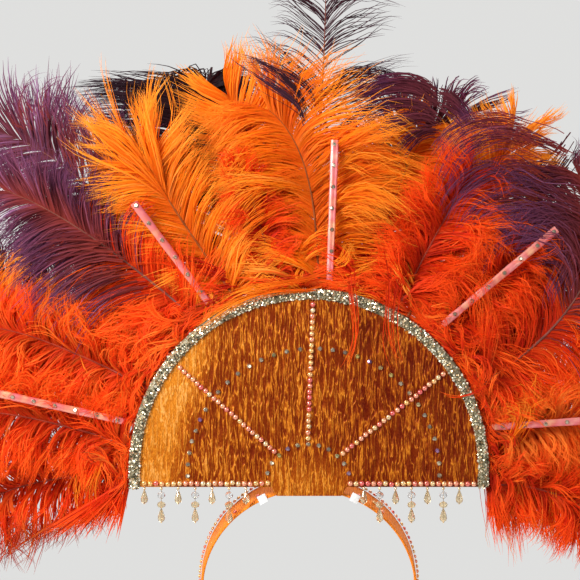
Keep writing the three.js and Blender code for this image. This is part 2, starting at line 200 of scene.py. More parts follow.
# Number and width of the barbs of a plume in each layer, and how many of them are down
STRANDS = {"inner": 2300, "middle": 2000, "outer": 1700}
STRAND_WIDTH = {"inner": 1.05, "middle": 1.35, "outer": 1.7}
DOWN_STRANDS = 450
# Barbs that start nearer the rim than this are dyed red, in purple plumes and in the ones listed
PURPLE_RED_TO = 58.0
RED_TO = {("inner", 9): 95.0, ("inner", 3): 120.0, ("outer", 6): 60.0, ("middle", 5): 80.0}
# Loose locks of a plume: route of x and z points, number of strands, spread at both ends and Y
LOCKS = {
    ("outer", 2): [
        ([(269, 344), (251, 320), (226, 302), (196, 290)], 60, 10, 12, 52),
        ([(261, 302), (243, 292), (221, 286), (201, 278)], 36, 9, 10, 46),
    ],
    ("middle", 1): [
        ([(196, 37), (203, 7), (201, -23), (211, -56)], 30, 8, 10, 10),
        ([(236, 62), (247, 22), (253, -18), (251, -53)], 36, 6, 7, 4),
        ([(251, 62), (263, 22), (268, -18), (265, -43)], 30, 6, 7, 4),
    ],
    ("inner", 1): [
        ([(179, 52), (183, 12), (187, -23), (193, -53)], 40, 5, 6, -6),
        ([(191, 44), (199, 2), (205, -33), (209, -68)], 44, 5, 7, -6),
        ([(203, 47), (215, 7), (225, -23), (236, -48)], 26, 4, 6, -6),
    ],
    ("outer", 3): [
        ([(133, 400), (106, 416), (76, 414), (36, 400)], 46, 3, 6, 14),
        ([(134, 390), (103, 408), (66, 404), (29, 384)], 46, 3, 6, 14),
        ([(134, 380), (103, 394), (71, 390), (41, 370)], 40, 3, 6, 14),
        ([(134, 372), (109, 380), (83, 370), (63, 354)], 36, 3, 6, 14),
        ([(133, 366), (115, 364), (101, 354), (89, 340)], 26, 3, 6, 14),
        ([(134, 404), (149, 398), (159, 386), (165, 374)], 36, 3, 4, 14),
        ([(134, 394), (147, 388), (157, 380), (164, 372)], 30, 3, 4, 14),
    ],
    ("inner", 3): [
        ([(236, 342), (191, 357), (153, 342), (132, 302)], 40, 6, 7, -8),
        ([(243, 312), (201, 327), (161, 312), (137, 278)], 45, 6, 7, -8),
        ([(247, 282), (211, 297), (177, 287), (157, 254)], 40, 6, 7, -8),
        ([(251, 254), (221, 267), (191, 256), (177, 230)], 30, 6, 7, -8),
        ([(221, 364), (181, 374), (146, 362), (127, 334)], 30, 5, 8, 0),
        ([(266, 342), (239, 354), (206, 364), (171, 370)], 30, 6, 7, 4),
        ([(267, 252), (261, 227), (251, 207), (249, 187)], 20, 5, 6, -8),
    ],
    ("outer", 7): [
        ([(-243, 294), (-271, 280), (-297, 260), (-317, 238)], 56, 10, 11, 50),
        ([(-199, 260), (-239, 267), (-274, 260), (-309, 242)], 50, 8, 10, 40),
        ([(-191, 230), (-229, 230), (-261, 210), (-287, 180)], 40, 6, 9, -7),
        ([(-204, 242), (-247, 242), (-281, 228), (-307, 200)], 40, 6, 9, -7),
        ([(-179, 220), (-211, 212), (-241, 194), (-264, 167)], 26, 5, 9, -7),
        ([(-159, 207), (-194, 200), (-225, 180), (-243, 154)], 16, 4, 8, -7),
    ],
    ("inner", 9): [
        ([(-189, 287), (-221, 300), (-254, 314), (-289, 324)], 46, 9, 10, 40),
        ([(-179, 302), (-199, 332), (-221, 362), (-239, 392)], 46, 9, 10, 44),
        ([(-209, 302), (-221, 342), (-233, 377), (-241, 404)], 44, 6, 8, 8),
        ([(-191, 292), (-201, 332), (-211, 367), (-225, 400)], 44, 6, 8, 8),
        ([(-174, 280), (-181, 317), (-189, 352), (-201, 384)], 40, 6, 8, 8),
        ([(-229, 314), (-243, 352), (-255, 384), (-265, 410)], 36, 6, 8, 8),
        ([(-279, 372), (-291, 392), (-287, 410), (-269, 420)], 10, 5, 5, 10),
        ([(-287, 366), (-301, 380), (-303, 396), (-293, 408)], 8, 4, 5, 10),
        ([(-264, 370), (-273, 394), (-265, 408), (-249, 412)], 8, 4, 5, 10),
    ],
    ("outer", 5): [
        ([(-109, 392), (-149, 408), (-199, 416), (-251, 412)], 50, 5, 7, 60),
        ([(-104, 380), (-144, 394), (-194, 402), (-243, 400)], 40, 5, 7, 60),
        ([(-99, 367), (-139, 380), (-184, 386), (-227, 382)], 40, 5, 7, 60),
        ([(-97, 400), (-109, 417), (-124, 426), (-141, 420)], 14, 6, 4, 56),
    ],
    ("outer", 4): [
        ([(-6, 372), (-14, 392), (-38, 412), (-72, 436)], 26, 1.5, 6, -4),
        ([(-2, 380), (-12, 404), (-38, 426), (-70, 438)], 20, 1.5, 5, -2),
        ([(6, 392), (-4, 412), (-32, 428), (-64, 434)], 12, 1.5, 4, -2),
        ([(21, 417), (53, 426), (87, 420), (116, 397)], 24, 4, 6, 20),
    ],
    ("inner", 6): [
        ([(31, 347), (71, 342), (111, 330), (141, 312)], 12, 4, 5, -4),
        ([(36, 332), (76, 322), (109, 312), (131, 290)], 12, 4, 5, -4),
        ([(-9, 322), (-47, 307), (-71, 287), (-85, 260)], 40, 5, 7, -5),
        ([(-4, 292), (-44, 277), (-69, 257), (-84, 230)], 30, 5, 7, -5),
        ([(10, 205), (-8, 201), (-39, 199), (-70, 189), (-96, 173), (-112, 160)], 18, 1, 4, -29),
        ([(12, 218), (-20, 210), (-60, 203), (-92, 186)], 14, 1, 4, -29),
    ],
    ("middle", 6): [
        ([(-9, 362), (-21, 402), (-29, 430), (-41, 456)], 14, 3, 5, 30),
        ([(11, 367), (9, 407), (16, 432), (21, 454)], 12, 3, 5, 30),
        ([(-29, 372), (-47, 404), (-59, 430), (-73, 450)], 10, 3, 5, 30),
    ],
    ("middle", 4): [
        ([(191, 292), (183, 332), (179, 362), (171, 380)], 16, 4, 5, 20),
        ([(211, 302), (211, 342), (219, 367), (231, 384)], 14, 4, 5, 20),
        ([(176, 287), (161, 327), (149, 357), (137, 374)], 14, 4, 5, 20),
    ],
    ("inner", 8): [
        ([(-169, 292), (-191, 342), (-217, 382), (-237, 404)], 10, 2, 5, 2),
        ([(-167, 294), (-185, 352), (-203, 402), (-209, 442)], 8, 2, 4, 2),
        ([(-163, 296), (-163, 352), (-159, 397), (-149, 432)], 10, 2, 4, 2),
        ([(-157, 296), (-141, 347), (-127, 377), (-113, 402)], 12, 2, 5, 2),
    ],
    ("inner", 10): [
        ([(-94, 192), (-119, 174), (-144, 170), (-159, 187), (-144, 202)], 14, 3, 4, -18),
        ([(-109, 162), (-133, 142), (-159, 140), (-169, 157), (-151, 170)], 14, 3, 4, -18),
    ],
    ("inner", 5): [
        ([(40, 222), (41, 192), (43, 162), (38, 140), (31, 127)], 7, 3.0, 5.0, -29),
        ([(74, 237), (79, 192), (77, 162), (82, 140), (88, 120)], 6, 3.0, 5.5, -29),
        ([(92, 216), (86, 192), (84, 152), (92, 131)], 4, 3.0, 5.0, -29),
    ],
    ("inner", 4): [
        ([(186, 112), (161, 99), (146, 97), (134, 102)], 5, 1, 4, -29),
    ],
}
STRANDS_A_CLUMP = 7
STRAND_STATIONS = 8
# Looks of the barbs: length for each mm of half width, opening and closing angle from the shaft,
# spread of both, lift towards and away from the panel, wave, how far clumps close and how far
# neighbours lie combed the same way
LOOKS = {
    "fluffy": (1.45, 44, 90, 34, 24, 6.0, 0.35, 0.35),
    "draped": (1.75, 46, 104, 18, 14, 3.4, 0.25, 0.80),
    "fine": (1.60, 40, 72, 10, 10, 1.4, 0.15, 0.85),
    "wavy": (1.90, 40, 108, 18, 12, 4.4, 0.35, 0.75),
    "split": (1.70, 36, 78, 12, 10, 2.0, 0.50, 0.70),
    "fan": (2.20, 14, 20, 15, 8, 2.0, 0.65, 0.20),
    "sparse": (1.85, 36, 78, 10, 10, 2.6, 0.10, 0.80),
}
# Longer barbs on the left and right of a shaft, seen from its root
LONGER = {("inner", 3): (1.45, 0.8), ("outer", 6): (1.1, 1.25), ("inner", 9): (1.1, 1.2),
          ("outer", 5): (1.5, 0.9), ("inner", 6): (1.2, 1.35)}
# Heights that the barbs of some plumes fold over at
CEILINGS = {("outer", 5): 410.0, ("outer", 3): 402.0}
# Plumes with fewer and finer barbs: share of their layer's number and width, and how far the
# strands of a clump stand apart
FINER = {("outer", 4): (0.42, 0.62, 5.0)}
# Plumes whose barbs are shaded otherwise than their dye alone
SHADES = {("middle", 9): "red_dark_tips", ("outer", 5): "purple_black", ("inner", 9): "purple_red",
          ("inner", 3): "purple_red", ("outer", 7): "purple_red", ("outer", 4): "purple_grey"}
# Fans of long barbs near the end of a shaft: zone along it in mm and number of strands
FANS = {("inner", 8): (118.0, 160.0, 460)}
# Stands for no ceiling and no end of a zone
NO_LIMIT = 1e9
# Loose barbs stay between these two in Y, and inside the radius they stay behind the panel and
# its braid
BARB_FRONT = -20
BARB_BACK = 70.0
BRAID_COVER = 176
# Barbs below the hem stay this far out, and further the lower they hang, on the left and right
HEM_CLEAR = 187
HEM_SLANTS = (1.7, 0.5)

# Seeds of the random draws; drops and plumes add their number, staves take their name's length
SEEDS = {"back_cover": 11, "front_cover": 12, "arc_stones": 21, "bead_rows": 31, "braid": 41,
         "drops": 50, "head_band": 61, "plumes": 1000}


def smooth(x):
    t = np.clip(x, 0.0, 1.0)
    return t * t * (3 - 2 * t)


# Meshes from arrays


def part(points, faces, material=0, tint=0.5, along=0.0, shaded_smooth=True):
    """One set of points and faces of a piece, with the values that its material reads."""
    points = np.asarray(points, float).reshape(-1, 3)
    return {
        "points": points,
        "faces": np.asarray(faces, np.int64),
        "material": material,
        "tint": np.broadcast_to(np.asarray(tint, float), (len(points),)),
        "along": np.broadcast_to(np.asarray(along, float), (len(points),)),
        "smooth": shaded_smooth,
    }


def make_piece(name, parts, materials, replaces=()):
    """Joins the parts into one mesh object in metres that rides on the frame."""
    corners, starts, slots, smooths = [], [], [], []
    first, loop = 0, 0
    for p in parts:
        count, sides = p["faces"].shape
        corners.append((p["faces"] + first).ravel())
        starts.append(loop + sides * np.arange(count))
        slots.append(np.full(count, p["material"]))
        smooths.append(np.full(count, p["smooth"]))
        first += len(p["points"])
        loop += count * sides
    points = np.concatenate([p["points"] for p in parts]) * MM
    corners, starts = np.concatenate(corners), np.concatenate(starts)
    mesh = bpy.data.meshes.new(name)
    mesh.vertices.add(len(points))
    mesh.vertices.foreach_set("co", points.astype(np.float32).ravel())
    mesh.loops.add(len(corners))
    mesh.loops.foreach_set("vertex_index", corners.astype(np.int32))
    mesh.polygons.add(len(starts))
    mesh.polygons.foreach_set("loop_start", starts.astype(np.int32))
    mesh.polygons.foreach_set("material_index", np.concatenate(slots).astype(np.int32))
    mesh.polygons.foreach_set("use_smooth", np.concatenate(smooths))
    for key in ("tint", "along"):
        values = np.concatenate([p[key] for p in parts]).astype(np.float32)
        mesh.attributes.new(key, "FLOAT", "POINT").data.foreach_set("value", values)
    mesh.update(calc_edges=True)
    for material in materials:
        mesh.materials.append(material)
    obj = bpy.data.objects.new(name, mesh)
    bpy.context.scene.collection.objects.link(obj)
    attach(obj, "root")
    if replaces:
        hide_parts(*replaces)
    return obj


def loft_faces(rings, sides):
    """Quads between rings of points, with both ends left open."""
    ring = np.arange(rings - 1)[:, None] * sides
    k = np.arange(sides)[None, :]
    a = ring + k
    b = ring + (k + 1) % sides
    return np.stack([a, b, b + sides, a + sides], -1).reshape(-1, 4)


def fan_faces(sides, turned):
    """Triangles that close one ring of points."""
    k = np.arange(1, sides - 1)
    tri = np.stack([np.zeros_like(k), k, k + 1], -1)
    return tri[:, ::-1] if turned else tri


def grid_faces(columns, rows):
    """Quads over a grid of points, and the points of its border in order."""
    index = np.arange(columns * rows).reshape(columns, rows)
    quads = np.stack([index[:-1, :-1], index[1:, :-1], index[1:, 1:], index[:-1, 1:]], -1)
    border = np.concatenate([index[:, 0], index[-1, 1:], index[-2::-1, -1], index[0, -2:0:-1]])
    return quads.reshape(-1, 4), border


def tube_parts(rings, turned=False, **values):
    """Closed body through rings that all have the same number of points."""
    rings = np.asarray(rings)
    count, sides = rings.shape[:2]
    cap = np.arange(sides)[None, :]
    faces = (loft_faces(count, sides), cap[:, ::-1], cap + sides * (count - 1))
    return [part(rings, face[:, ::-1] if turned else face, **values) for face in faces]


def lathe_parts(profile, sides, centre, tilt, **values):
    """Turned body through radius and height pairs that start and end off the axis."""
    profile = np.asarray(profile, float)
    angle = 2 * math.pi * np.arange(sides) / sides
    points = np.empty((len(profile), sides, 3))
    points[:, :, :2] = profile[:, None, :1] * np.stack([np.cos(angle), np.sin(angle)], -1)
    points[:, :, 2] = profile[:, None, 1]
    points = points.reshape(-1, 3) @ tilt.T + np.asarray(centre, float)
    return [part(points, loft_faces(len(profile), sides)[:, ::-1], **values),
            part(points[:sides], fan_faces(sides, False), **values),
            part(points[-sides:], fan_faces(sides, True), **values)]


def paint(tree, shader, colour, **values):
    """Links the base colour and sets other inputs of the shader."""
    tree.links.new(colour, shader.inputs["Base Color"])
    for key, value in values.items():
        shader.inputs[key.replace("_", " ")].default_value = value


# Materials

# Where along a barb the dye of its root fades out and that of its tip sets in
ROOT_FADE = [(0.0, (0.85,) * 3), (0.55, (0, 0, 0))]
TIP_FADE = [(0.45, (0, 0, 0)), (1.0, (0.7,) * 3)]


def new_material(name):
    material = bpy.data.materials.new(name)
    material.use_nodes = True
    tree = material.node_tree
    tree.nodes.clear()
    output = tree.nodes.new("ShaderNodeOutputMaterial")
    shader = tree.nodes.new("ShaderNodeBsdfPrincipled")
    tree.links.new(shader.outputs["BSDF"], output.inputs["Surface"])
    return material, tree, shader, output


def attribute(tree, name):
    node = tree.nodes.new("ShaderNodeAttribute")
    node.attribute_name = name
    return node.outputs["Fac"]


def object_noise(tree, scale, detail=3.0, stretch=(1, 1, 1)):
    place = tree.nodes.new("ShaderNodeTexCoord")
    mapping = tree.nodes.new("ShaderNodeMapping")
    mapping.inputs["Scale"].default_value = stretch
    noise = tree.nodes.new("ShaderNodeTexNoise")
    noise.inputs["Scale"].default_value = scale
    noise.inputs["Detail"].default_value = detail
    tree.links.new(place.outputs["Object"], mapping.inputs["Vector"])
    tree.links.new(mapping.outputs["Vector"], noise.inputs["Vector"])
    return noise.outputs["Fac"]


def ramp(tree, source, stops):
    node = tree.nodes.new("ShaderNodeValToRGB")
    elements = node.color_ramp.elements
    elements[0].position, elements[0].color = stops[0][0], (*stops[0][1], 1)
    elements[1].position, elements[1].color = stops[-1][0], (*stops[-1][1], 1)
    for position, colour in stops[1:-1]:
        elements.new(position).color = (*colour, 1)
    tree.links.new(source, node.inputs["Fac"])
    return node.outputs["Color"]


def maths(tree, operation, a, b):
    node = tree.nodes.new("ShaderNodeMath")
    node.operation = operation
    for socket, value in zip(node.inputs, (a, b)):
        if isinstance(value, (int, float)):
            socket.default_value = value
        else:
            tree.links.new(value, socket)
    return node.outputs[0]


def mix_colour(tree, factor, a, b):
    """Colour a, blended into the plain colour b by the factor."""
    node = tree.nodes.new("ShaderNodeMix")
    node.data_type = "RGBA"
    first, second = (s for s in node.inputs if s.type == "RGBA")
    tree.links.new(factor, node.inputs["Factor"])
    tree.links.new(a, first)
    second.default_value = (*b, 1)
    return next(s for s in node.outputs if s.type == "RGBA")


def bump(tree, shader, height, strength, distance):
    node = tree.nodes.new("ShaderNodeBump")
    node.inputs["Strength"].default_value = strength
    node.inputs["Distance"].default_value = distance
    tree.links.new(height, node.inputs["Height"])
    tree.links.new(node.outputs["Normal"], shader.inputs["Normal"])


def feather_material(name, stops, root_colour, tip_colour, glow):
    """Dyed barbs: colour by strand, other dyes at root and tip, part of the light let through."""
    material, tree, shader, output = new_material(name)
    tint = attribute(tree, "tint")
    patch = maths(tree, "MULTIPLY", maths(tree, "SUBTRACT", object_noise(tree, 14.0), 0.5), 0.5)
    colour = ramp(tree, maths(tree, "ADD", tint, patch), stops)
    for fade, dye in ((ROOT_FADE, root_colour), (TIP_FADE, tip_colour)):
        colour = mix_colour(tree, ramp(tree, attribute(tree, "along"), fade), colour, dye)
    paint(tree, shader, colour, Roughness=0.6, Specular_IOR_Level=0.12)
    through = tree.nodes.new("ShaderNodeBsdfTranslucent")
    tree.links.new(colour, through.inputs["Color"])
    both = tree.nodes.new("ShaderNodeMixShader")
    both.inputs["Fac"].default_value = glow
    tree.links.new(shader.outputs["BSDF"], both.inputs[1])
    tree.links.new(through.outputs["BSDF"], both.inputs[2])
    tree.links.new(both.outputs["Shader"], output.inputs["Surface"])
    return material


def mottled_material(name, colour, scale, dark, spread, bumpy=False, **values):
    """One colour with darker patches of noise, and a fine bump where it is asked for."""
    material, tree, shader, _ = new_material(name)
    noise = object_noise(tree, scale)
    stops = [(0.5 - spread, tuple(c * dark for c in colour)), (0.5 + spread, colour)]
    paint(tree, shader, ramp(tree, noise, stops), **values)
    if bumpy:
        bump(tree, shader, noise, 0.3, 0.0004)
    return material


def shaft_material(name, colour):
    return mottled_material(name, colour, 60.0, 0.45, 0.2, Roughness=0.5, Specular_IOR_Level=0.2)


def satin_material(name, stops, creases):
    """Metallic satin with painted highlight on its crests and painted shade in its valleys, from
    its tint and along attributes, with creases and a fine weave.
    """
    material, tree, shader, _ = new_material(name)
    weave = object_noise(tree, 900.0, 2.0, (1, 0.02, 0.5))
    bend = object_noise(tree, 290.0, 1.5, (1, 0.02, 0.14))
    bend.node.inputs["Distortion"].default_value = 0.7
    off = maths(tree, "ABSOLUTE", maths(tree, "SUBTRACT", bend, 0.5), 0.0)
    ridge = maths(tree, "SUBTRACT", 1.0, maths(tree, "MULTIPLY", off, 12.0))
    ridge = maths(tree, "MAXIMUM", ridge, 0.0)
    # Painted highlight: the crease lines are painted paler, scaled by the along attribute, on top
    # of the painted tint
    light = maths(tree, "MULTIPLY", ridge, attribute(tree, "along"))
    light = maths(tree, "ADD", light, attribute(tree, "tint"))
    grain = maths(tree, "MULTIPLY", maths(tree, "SUBTRACT", weave, 0.5), creases)
    paint(tree, shader, ramp(tree, maths(tree, "ADD", light, grain), stops), Metallic=0.15,
          Roughness=0.42, Specular_IOR_Level=0.08)
    height = maths(tree, "ADD", maths(tree, "MULTIPLY", weave, 0.5), ridge)
    bump(tree, shader, height, 0.6, 0.0012)
    return material


def gem_material(name, stops, roughness, metallic):
    """Stones and beads, each in one colour of the ramp, with a thin gloss."""
    material, tree, shader, _ = new_material(name)
    paint(tree, shader, ramp(tree, attribute(tree, "tint"), stops), Metallic=metallic,
          Roughness=roughness, Coat_Weight=0.6, Coat_Roughness=0.05)
    return material


def glass_material(name, colour):
    return mottled_material(name, colour, 120.0, 0.82, 0.15, Roughness=0.03,
                            Transmission_Weight=0.85, IOR=1.55)


def plain_material(name, colour, roughness, scale, metallic=0.0):
    return mottled_material(name, colour, scale, 0.85, 0.15, bumpy=True, Roughness=roughness,
                            Metallic=metallic)


def stave_material():
    """Iridescent film: coral to peach along its length, with a painted highlight along one edge."""
    material, tree, shader, _ = new_material("stave_film")
    shift = object_noise(tree, 55.0, 2.0)
    stops = [(0.30, (0.85, 0.38, 0.20)), (0.45, (0.72, 0.13, 0.10)), (0.55, (0.75, 0.14, 0.17)),
             (0.70, (0.88, 0.35, 0.27))]
    # The tint attribute mixes in the pale colour of the painted highlight
    colour = mix_colour(tree, attribute(tree, "tint"), ramp(tree, shift, stops),
                        (0.90, 0.42, 0.34))
    paint(tree, shader, colour, Metallic=0.3, Roughness=0.3, Coat_Weight=0.15, Coat_Roughness=0.15)
    return material


# Back panel


def panel_top(x, inset=0.0):
    radius = PANEL_RADIUS - inset
    return PANEL_CENTRE_Z + np.sqrt(np.maximum(radius * radius - x * x, 0))


def panel_bottom(x):
    """Lower edge: the hem line, and the tongue between its two corners."""
    inside = smooth((TONGUE_HALF - np.abs(x)) / 6.0)
    return HEM_Z + (TONGUE_Z - HEM_Z) * inside


def value_noise(u, v, seed):
    """Smooth noise from 0 to 1 over cells of size 1."""
    rng = np.random.default_rng(seed)
    u, v = u - u.min(), v - v.min()
    grid = rng.uniform(0, 1, (int(u.max()) + 2, int(v.max()) + 2))
    a, b = u.astype(int), v.astype(int)
    s, t = smooth(u - a), smooth(v - b)
    near = grid[a, b] * (1 - s) + grid[a + 1, b] * s
    far = grid[a, b + 1] * (1 - s) + grid[a + 1, b + 1] * s
    return near * (1 - t) + far * t


def crinkle(x, z, seed):
    """Narrow upright crests that wander and break, from 0 in the valleys to 1."""
    wander = 7 * value_noise(x / 26, z / 17, seed) + 2.5 * value_noise(x / 9, z / 7, seed + 1)
    total = np.zeros_like(x)
    for k, (wide, tall, weight) in enumerate(CRESTS):
        wave = value_noise((x + wander) / wide, z / tall, seed + 2 + k)
        total += weight * (1 - np.abs(2 * wave - 1)) ** 2.2
    patch = 0.5 + 1.0 * value_noise(x / 22, z / 26, seed + 9)
    return np.clip(total * patch * 1.7, 0, 1)


def tight_and_sheen(x, z):
    """Where the satin is drawn taut, with flatter crests and a painted sheen: its left side and
    above the tongue.
    """
    left = smooth((-104 - x + 0.25 * (z - 60)) / 34)
    tongue = smooth((46 - z) / 40) * smooth((60 - np.abs(x)) / 30)
    return 0.30 * left + 0.20 * tongue


def cover(y_out, y_in, seed, columns=240, rows=64):
    """Closed plate in the panel's outline whose outer face is crinkled cloth."""
    toward = -1 if y_out < y_in else 1
    edge = PANEL_RADIUS - 0.02
    xs = np.repeat(np.linspace(-edge, edge, columns)[:, None], rows, 1)
    low, high = panel_bottom(xs), panel_top(xs)
    zs = low + (high - low) * np.linspace(0, 1, rows)[None, :]
    crest = crinkle(xs, zs, seed)
    # Painted sheen lightens the taut zones, where the crests are also flattened
    pull_and_sheen = tight_and_sheen(xs, zs)
    rim = np.minimum.reduce([high - zs, zs - low, edge - np.abs(xs)])
    relief = 1.15 * crest * (1 - 1.6 * pull_and_sheen) * smooth(rim / 3.0)
    # Painted shade: the right side is painted darker, and random patches lighten the tone
    shade = 0.12 * smooth((xs + 10) / 60) - 0.12 * value_noise(xs / 30, zs / 34, seed + 20)
    # The tint paints highlight on the crests and sheen where the cloth is taut, less the painted
    # shade
    tint = np.clip(0.10 + 0.14 * crest * (1 - pull_and_sheen) + 1.45 * pull_and_sheen - shade, -0.1, 1).ravel()
    # The along attribute sets how strongly the material paints highlight on its crease lines
    strength = (0.52 - 0.9 * pull_and_sheen).ravel()
    outer = np.stack([xs, y_out + toward * relief, zs], -1).reshape(-1, 3)
    quads, border = grid_faces(columns, rows)
    front = outer[border]
    back = front * (1, 0, 1) + (0, y_in, 0)
    count = len(border)
    k = np.arange(count)
    after = (k + 1) % count
    sides = np.stack([after, k, count + k, count + after], -1)
    lid = np.stack([after, k, np.full(count, count)], -1)
    if toward > 0:
        quads, sides, lid = quads[:, ::-1], sides[:, ::-1], lid[:, ::-1]
    return [part(outer, quads, tint=tint, along=strength),
            part(np.concatenate([front, back]), sides, tint=0.4),
            part(np.concatenate([back, [[0.0, y_in, LID_CENTRE_Z]]]), lid, tint=0.4)]


def gem_profile(radius, height):
    return [(radius * 0.86, 0.0), (radius, height * 0.18), (radius, height * 0.32),
            (radius * 0.58, height)]


# Turns the axis of a stone to point out of the panel's back face
FACE_BACK = np.array([[1.0, 0, 0], [0, 0, -1.0], [0, 1.0, 0]])


def rotation(rng, spread):
    """Small random turn of a stone."""
    ca, sa, cb, sb, cc, sc = (f(turn) for turn in rng.normal(0, spread, 3)
                              for f in (math.cos, math.sin))
    rx = np.array([[1, 0, 0], [0, ca, -sa], [0, sa, ca]])
    rz = np.array([[cb, -sb, 0], [sb, cb, 0], [0, 0, 1]])
    ry = np.array([[cc, 0, sc], [0, 1, 0], [-sc, 0, cc]])
    return ry @ rz @ rx


def gem(x, y, z, radius, height, rng, spread, material=0, tints=(0.0, 1.0)):
    return lathe_parts(gem_profile(radius, height), 8, (x, y, z),
                       rotation(rng, spread) @ FACE_BACK, material=material,
                       tint=rng.uniform(*tints), shaded_smooth=False)


def arc_points(arc, runs):
    x, z, radius = arc
    for start, end, stones in runs:
        for angle in np.linspace(start, end, stones) * DEG:
            yield x + radius * math.cos(angle), z + radius * math.sin(angle)


def panel_pieces(mats):
    core_in = BACK_FACE + BACK_PLATE
    core_out = core_in + SLOT
    back = cover(BACK_FACE, core_in, SEEDS["back_cover"])
    front = cover(core_out + FRONT_PLATE, core_out, SEEDS["front_cover"], columns=110, rows=30)
    core = core_plate(core_in, core_out)
    make_piece("fan_panel_satin", back + front + core, [mats["satin"]], ["fan_panel"])
    rng = np.random.default_rng(SEEDS["arc_stones"])
    parts = []
    for x, z in (*arc_points(LARGE_ARC, LARGE_ARC_RUNS), *arc_points(SMALL_ARC, SMALL_ARC_RUNS)):
        parts += gem(x, BACK_FACE - 0.6, z, STONE_RADIUS, 2.2, rng, 0.32)
    make_piece("arc_rhinestones", parts, [mats["rhinestone"]], ["fan_panel"])


def core_plate(y0, y1):
    """Board between the two covers, set in by the depth of the slot."""
    inset = PANEL_RADIUS - SLOT_DEPTH
    x = np.linspace(-inset, inset, 80)
    rings = [[(xi, y0, a), (xi, y1, a), (xi, y1, b), (xi, y0, b)]
             for xi, a, b in zip(x, panel_bottom(x), panel_top(x, SLOT_DEPTH))]
    ends = np.array([[0, 1, 2, 3], [3, 2, 1, 0]])
    ends[1] += 4 * (len(x) - 1)
    return [part(rings, loft_faces(len(x), 4)), part(rings, ends)]


# Beads, braid and drops


def dome(x, z, rng):
    """Round stone on the panel's back face: a faceted dome with a rounded foot."""
    radius, height = BEAD_RADIUS, BEAD_RADIUS * 1.15
    profile = [(radius * 0.8, 0.0), (radius, height * 0.3)]
    for k in range(1, DOME_RINGS):
        angle = 0.5 * math.pi * k / DOME_RINGS
        profile.append((radius * math.cos(angle), height * (0.3 + 0.7 * math.sin(angle))))
    profile.append((radius * 0.1, height))
    return lathe_parts(profile, 12, (x, FOOT, z), rotation(rng, 0.08) @ FACE_BACK,
                       tint=rng.uniform())


def bead_rows(mats):
    """Spoke rows and hem rows of round stones, each stone a little out of line."""
    rng = np.random.default_rng(SEEDS["bead_rows"])

    def row(kind, side, points):
        parts = []
        for x, z in points:
            parts += dome(x, z, rng)
        make_piece(f"{kind}_stones_{side}", parts, [mats["pearl"]],
                   [f"{kind}_beads_{side}"])

    for name, (start, end) in SPOKES.items():
        start, end = np.array(start, float), np.array(end, float)
        count = round(np.linalg.norm(end - start) / BEAD_PITCH) + 1
        row("spoke", name, (start + (end - start) * share + rng.normal(0, 0.18, 2)
                            for share in np.linspace(0, 1, count)))
    for side in ("left", "right"):
        low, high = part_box(f"hem_beads_{side}")
        start, end = low.x / MM, high.x / MM
        count = round((end - start) / BEAD_PITCH) + 1
        row("hem", side, ((x, HEM_BEAD_Z + rng.normal(0, 0.3))
                          for x in np.linspace(start, end, count)))


def trim_path(steps):
    """Points and outward directions along both legs and the arch at the braid's middle."""
    middle = (PANEL_RADIUS + TRIM_INNER_RADIUS) / 2
    leg = PANEL_CENTRE_Z - HEM_Z
    total = 2 * leg + math.pi * middle
    for s in np.linspace(0, total, steps):
        if s < leg:
            yield (middle, HEM_Z + s), (1.0, 0.0)
        elif s > total - leg:
            yield (-middle, HEM_Z + total - s), (-1.0, 0.0)
        else:
            angle = (s - leg) / middle
            out = (math.cos(angle), math.sin(angle))
            yield (middle * out[0], PANEL_CENTRE_Z + middle * out[1]), out


def braid(mats):
    """Braid of small stones: a soft base with five staggered rows of stones of mixed size."""
    rng = np.random.default_rng(SEEDS["braid"])
    silver, base, champagne = range(3)
    rings = []
    for (x, z), out in trim_path(BRAID_RINGS):
        ring = [(offset, rise + rng.uniform(-0.2, 0.3)) for offset, rise in BRAID_SECTION]
        ring += [(BRAID_HALF_WIDTH, -0.1), (-BRAID_HALF_WIDTH, -0.1)]
        rings.append([(x + out[0] * offset, FOOT - rise, z + out[1] * offset)
                      for offset, rise in ring])
    parts = tube_parts(rings, material=base)
    for row, offset in enumerate(BRAID_ROWS):
        rise = 3.2 - 0.1 * offset * offset
        for (x, z), out in trim_path(BRAID_ROW_STONES):
            if rng.uniform() < BRAID_MISSING:
                continue
            slip = rng.normal(0, 0.45, 2)
            across, along = offset + slip[0], slip[1] + BRAID_STAGGER * (row % 2)
            x += out[0] * across - out[1] * along
            z += out[1] * across + out[0] * along
            lean = rotation(rng, 0.5)
            radius = rng.uniform(1.15, 1.8)
            material = champagne if rng.uniform() < BRAID_CHAMPAGNE else silver
            parts += lathe_parts(gem_profile(radius, 1.5), 6, (x, FOOT - rise, z),
                                 lean @ FACE_BACK, material=material, tint=rng.uniform(),
                                 shaded_smooth=False)
    make_piece("rhinestone_braid", parts, [mats["silver"], mats["braid"], mats["champagne_gem"]],
               ["edge_trim"])


def bicone(z, half, radius):
    """Profile of a rondelle that threads on its axis at the height z."""
    return [(0.9, z + half), (radius * 0.8, z + half * 0.62), (radius, z + half * 0.16),
            (radius, z - half * 0.16), (radius * 0.8, z - half * 0.62), (0.9, z - half)]


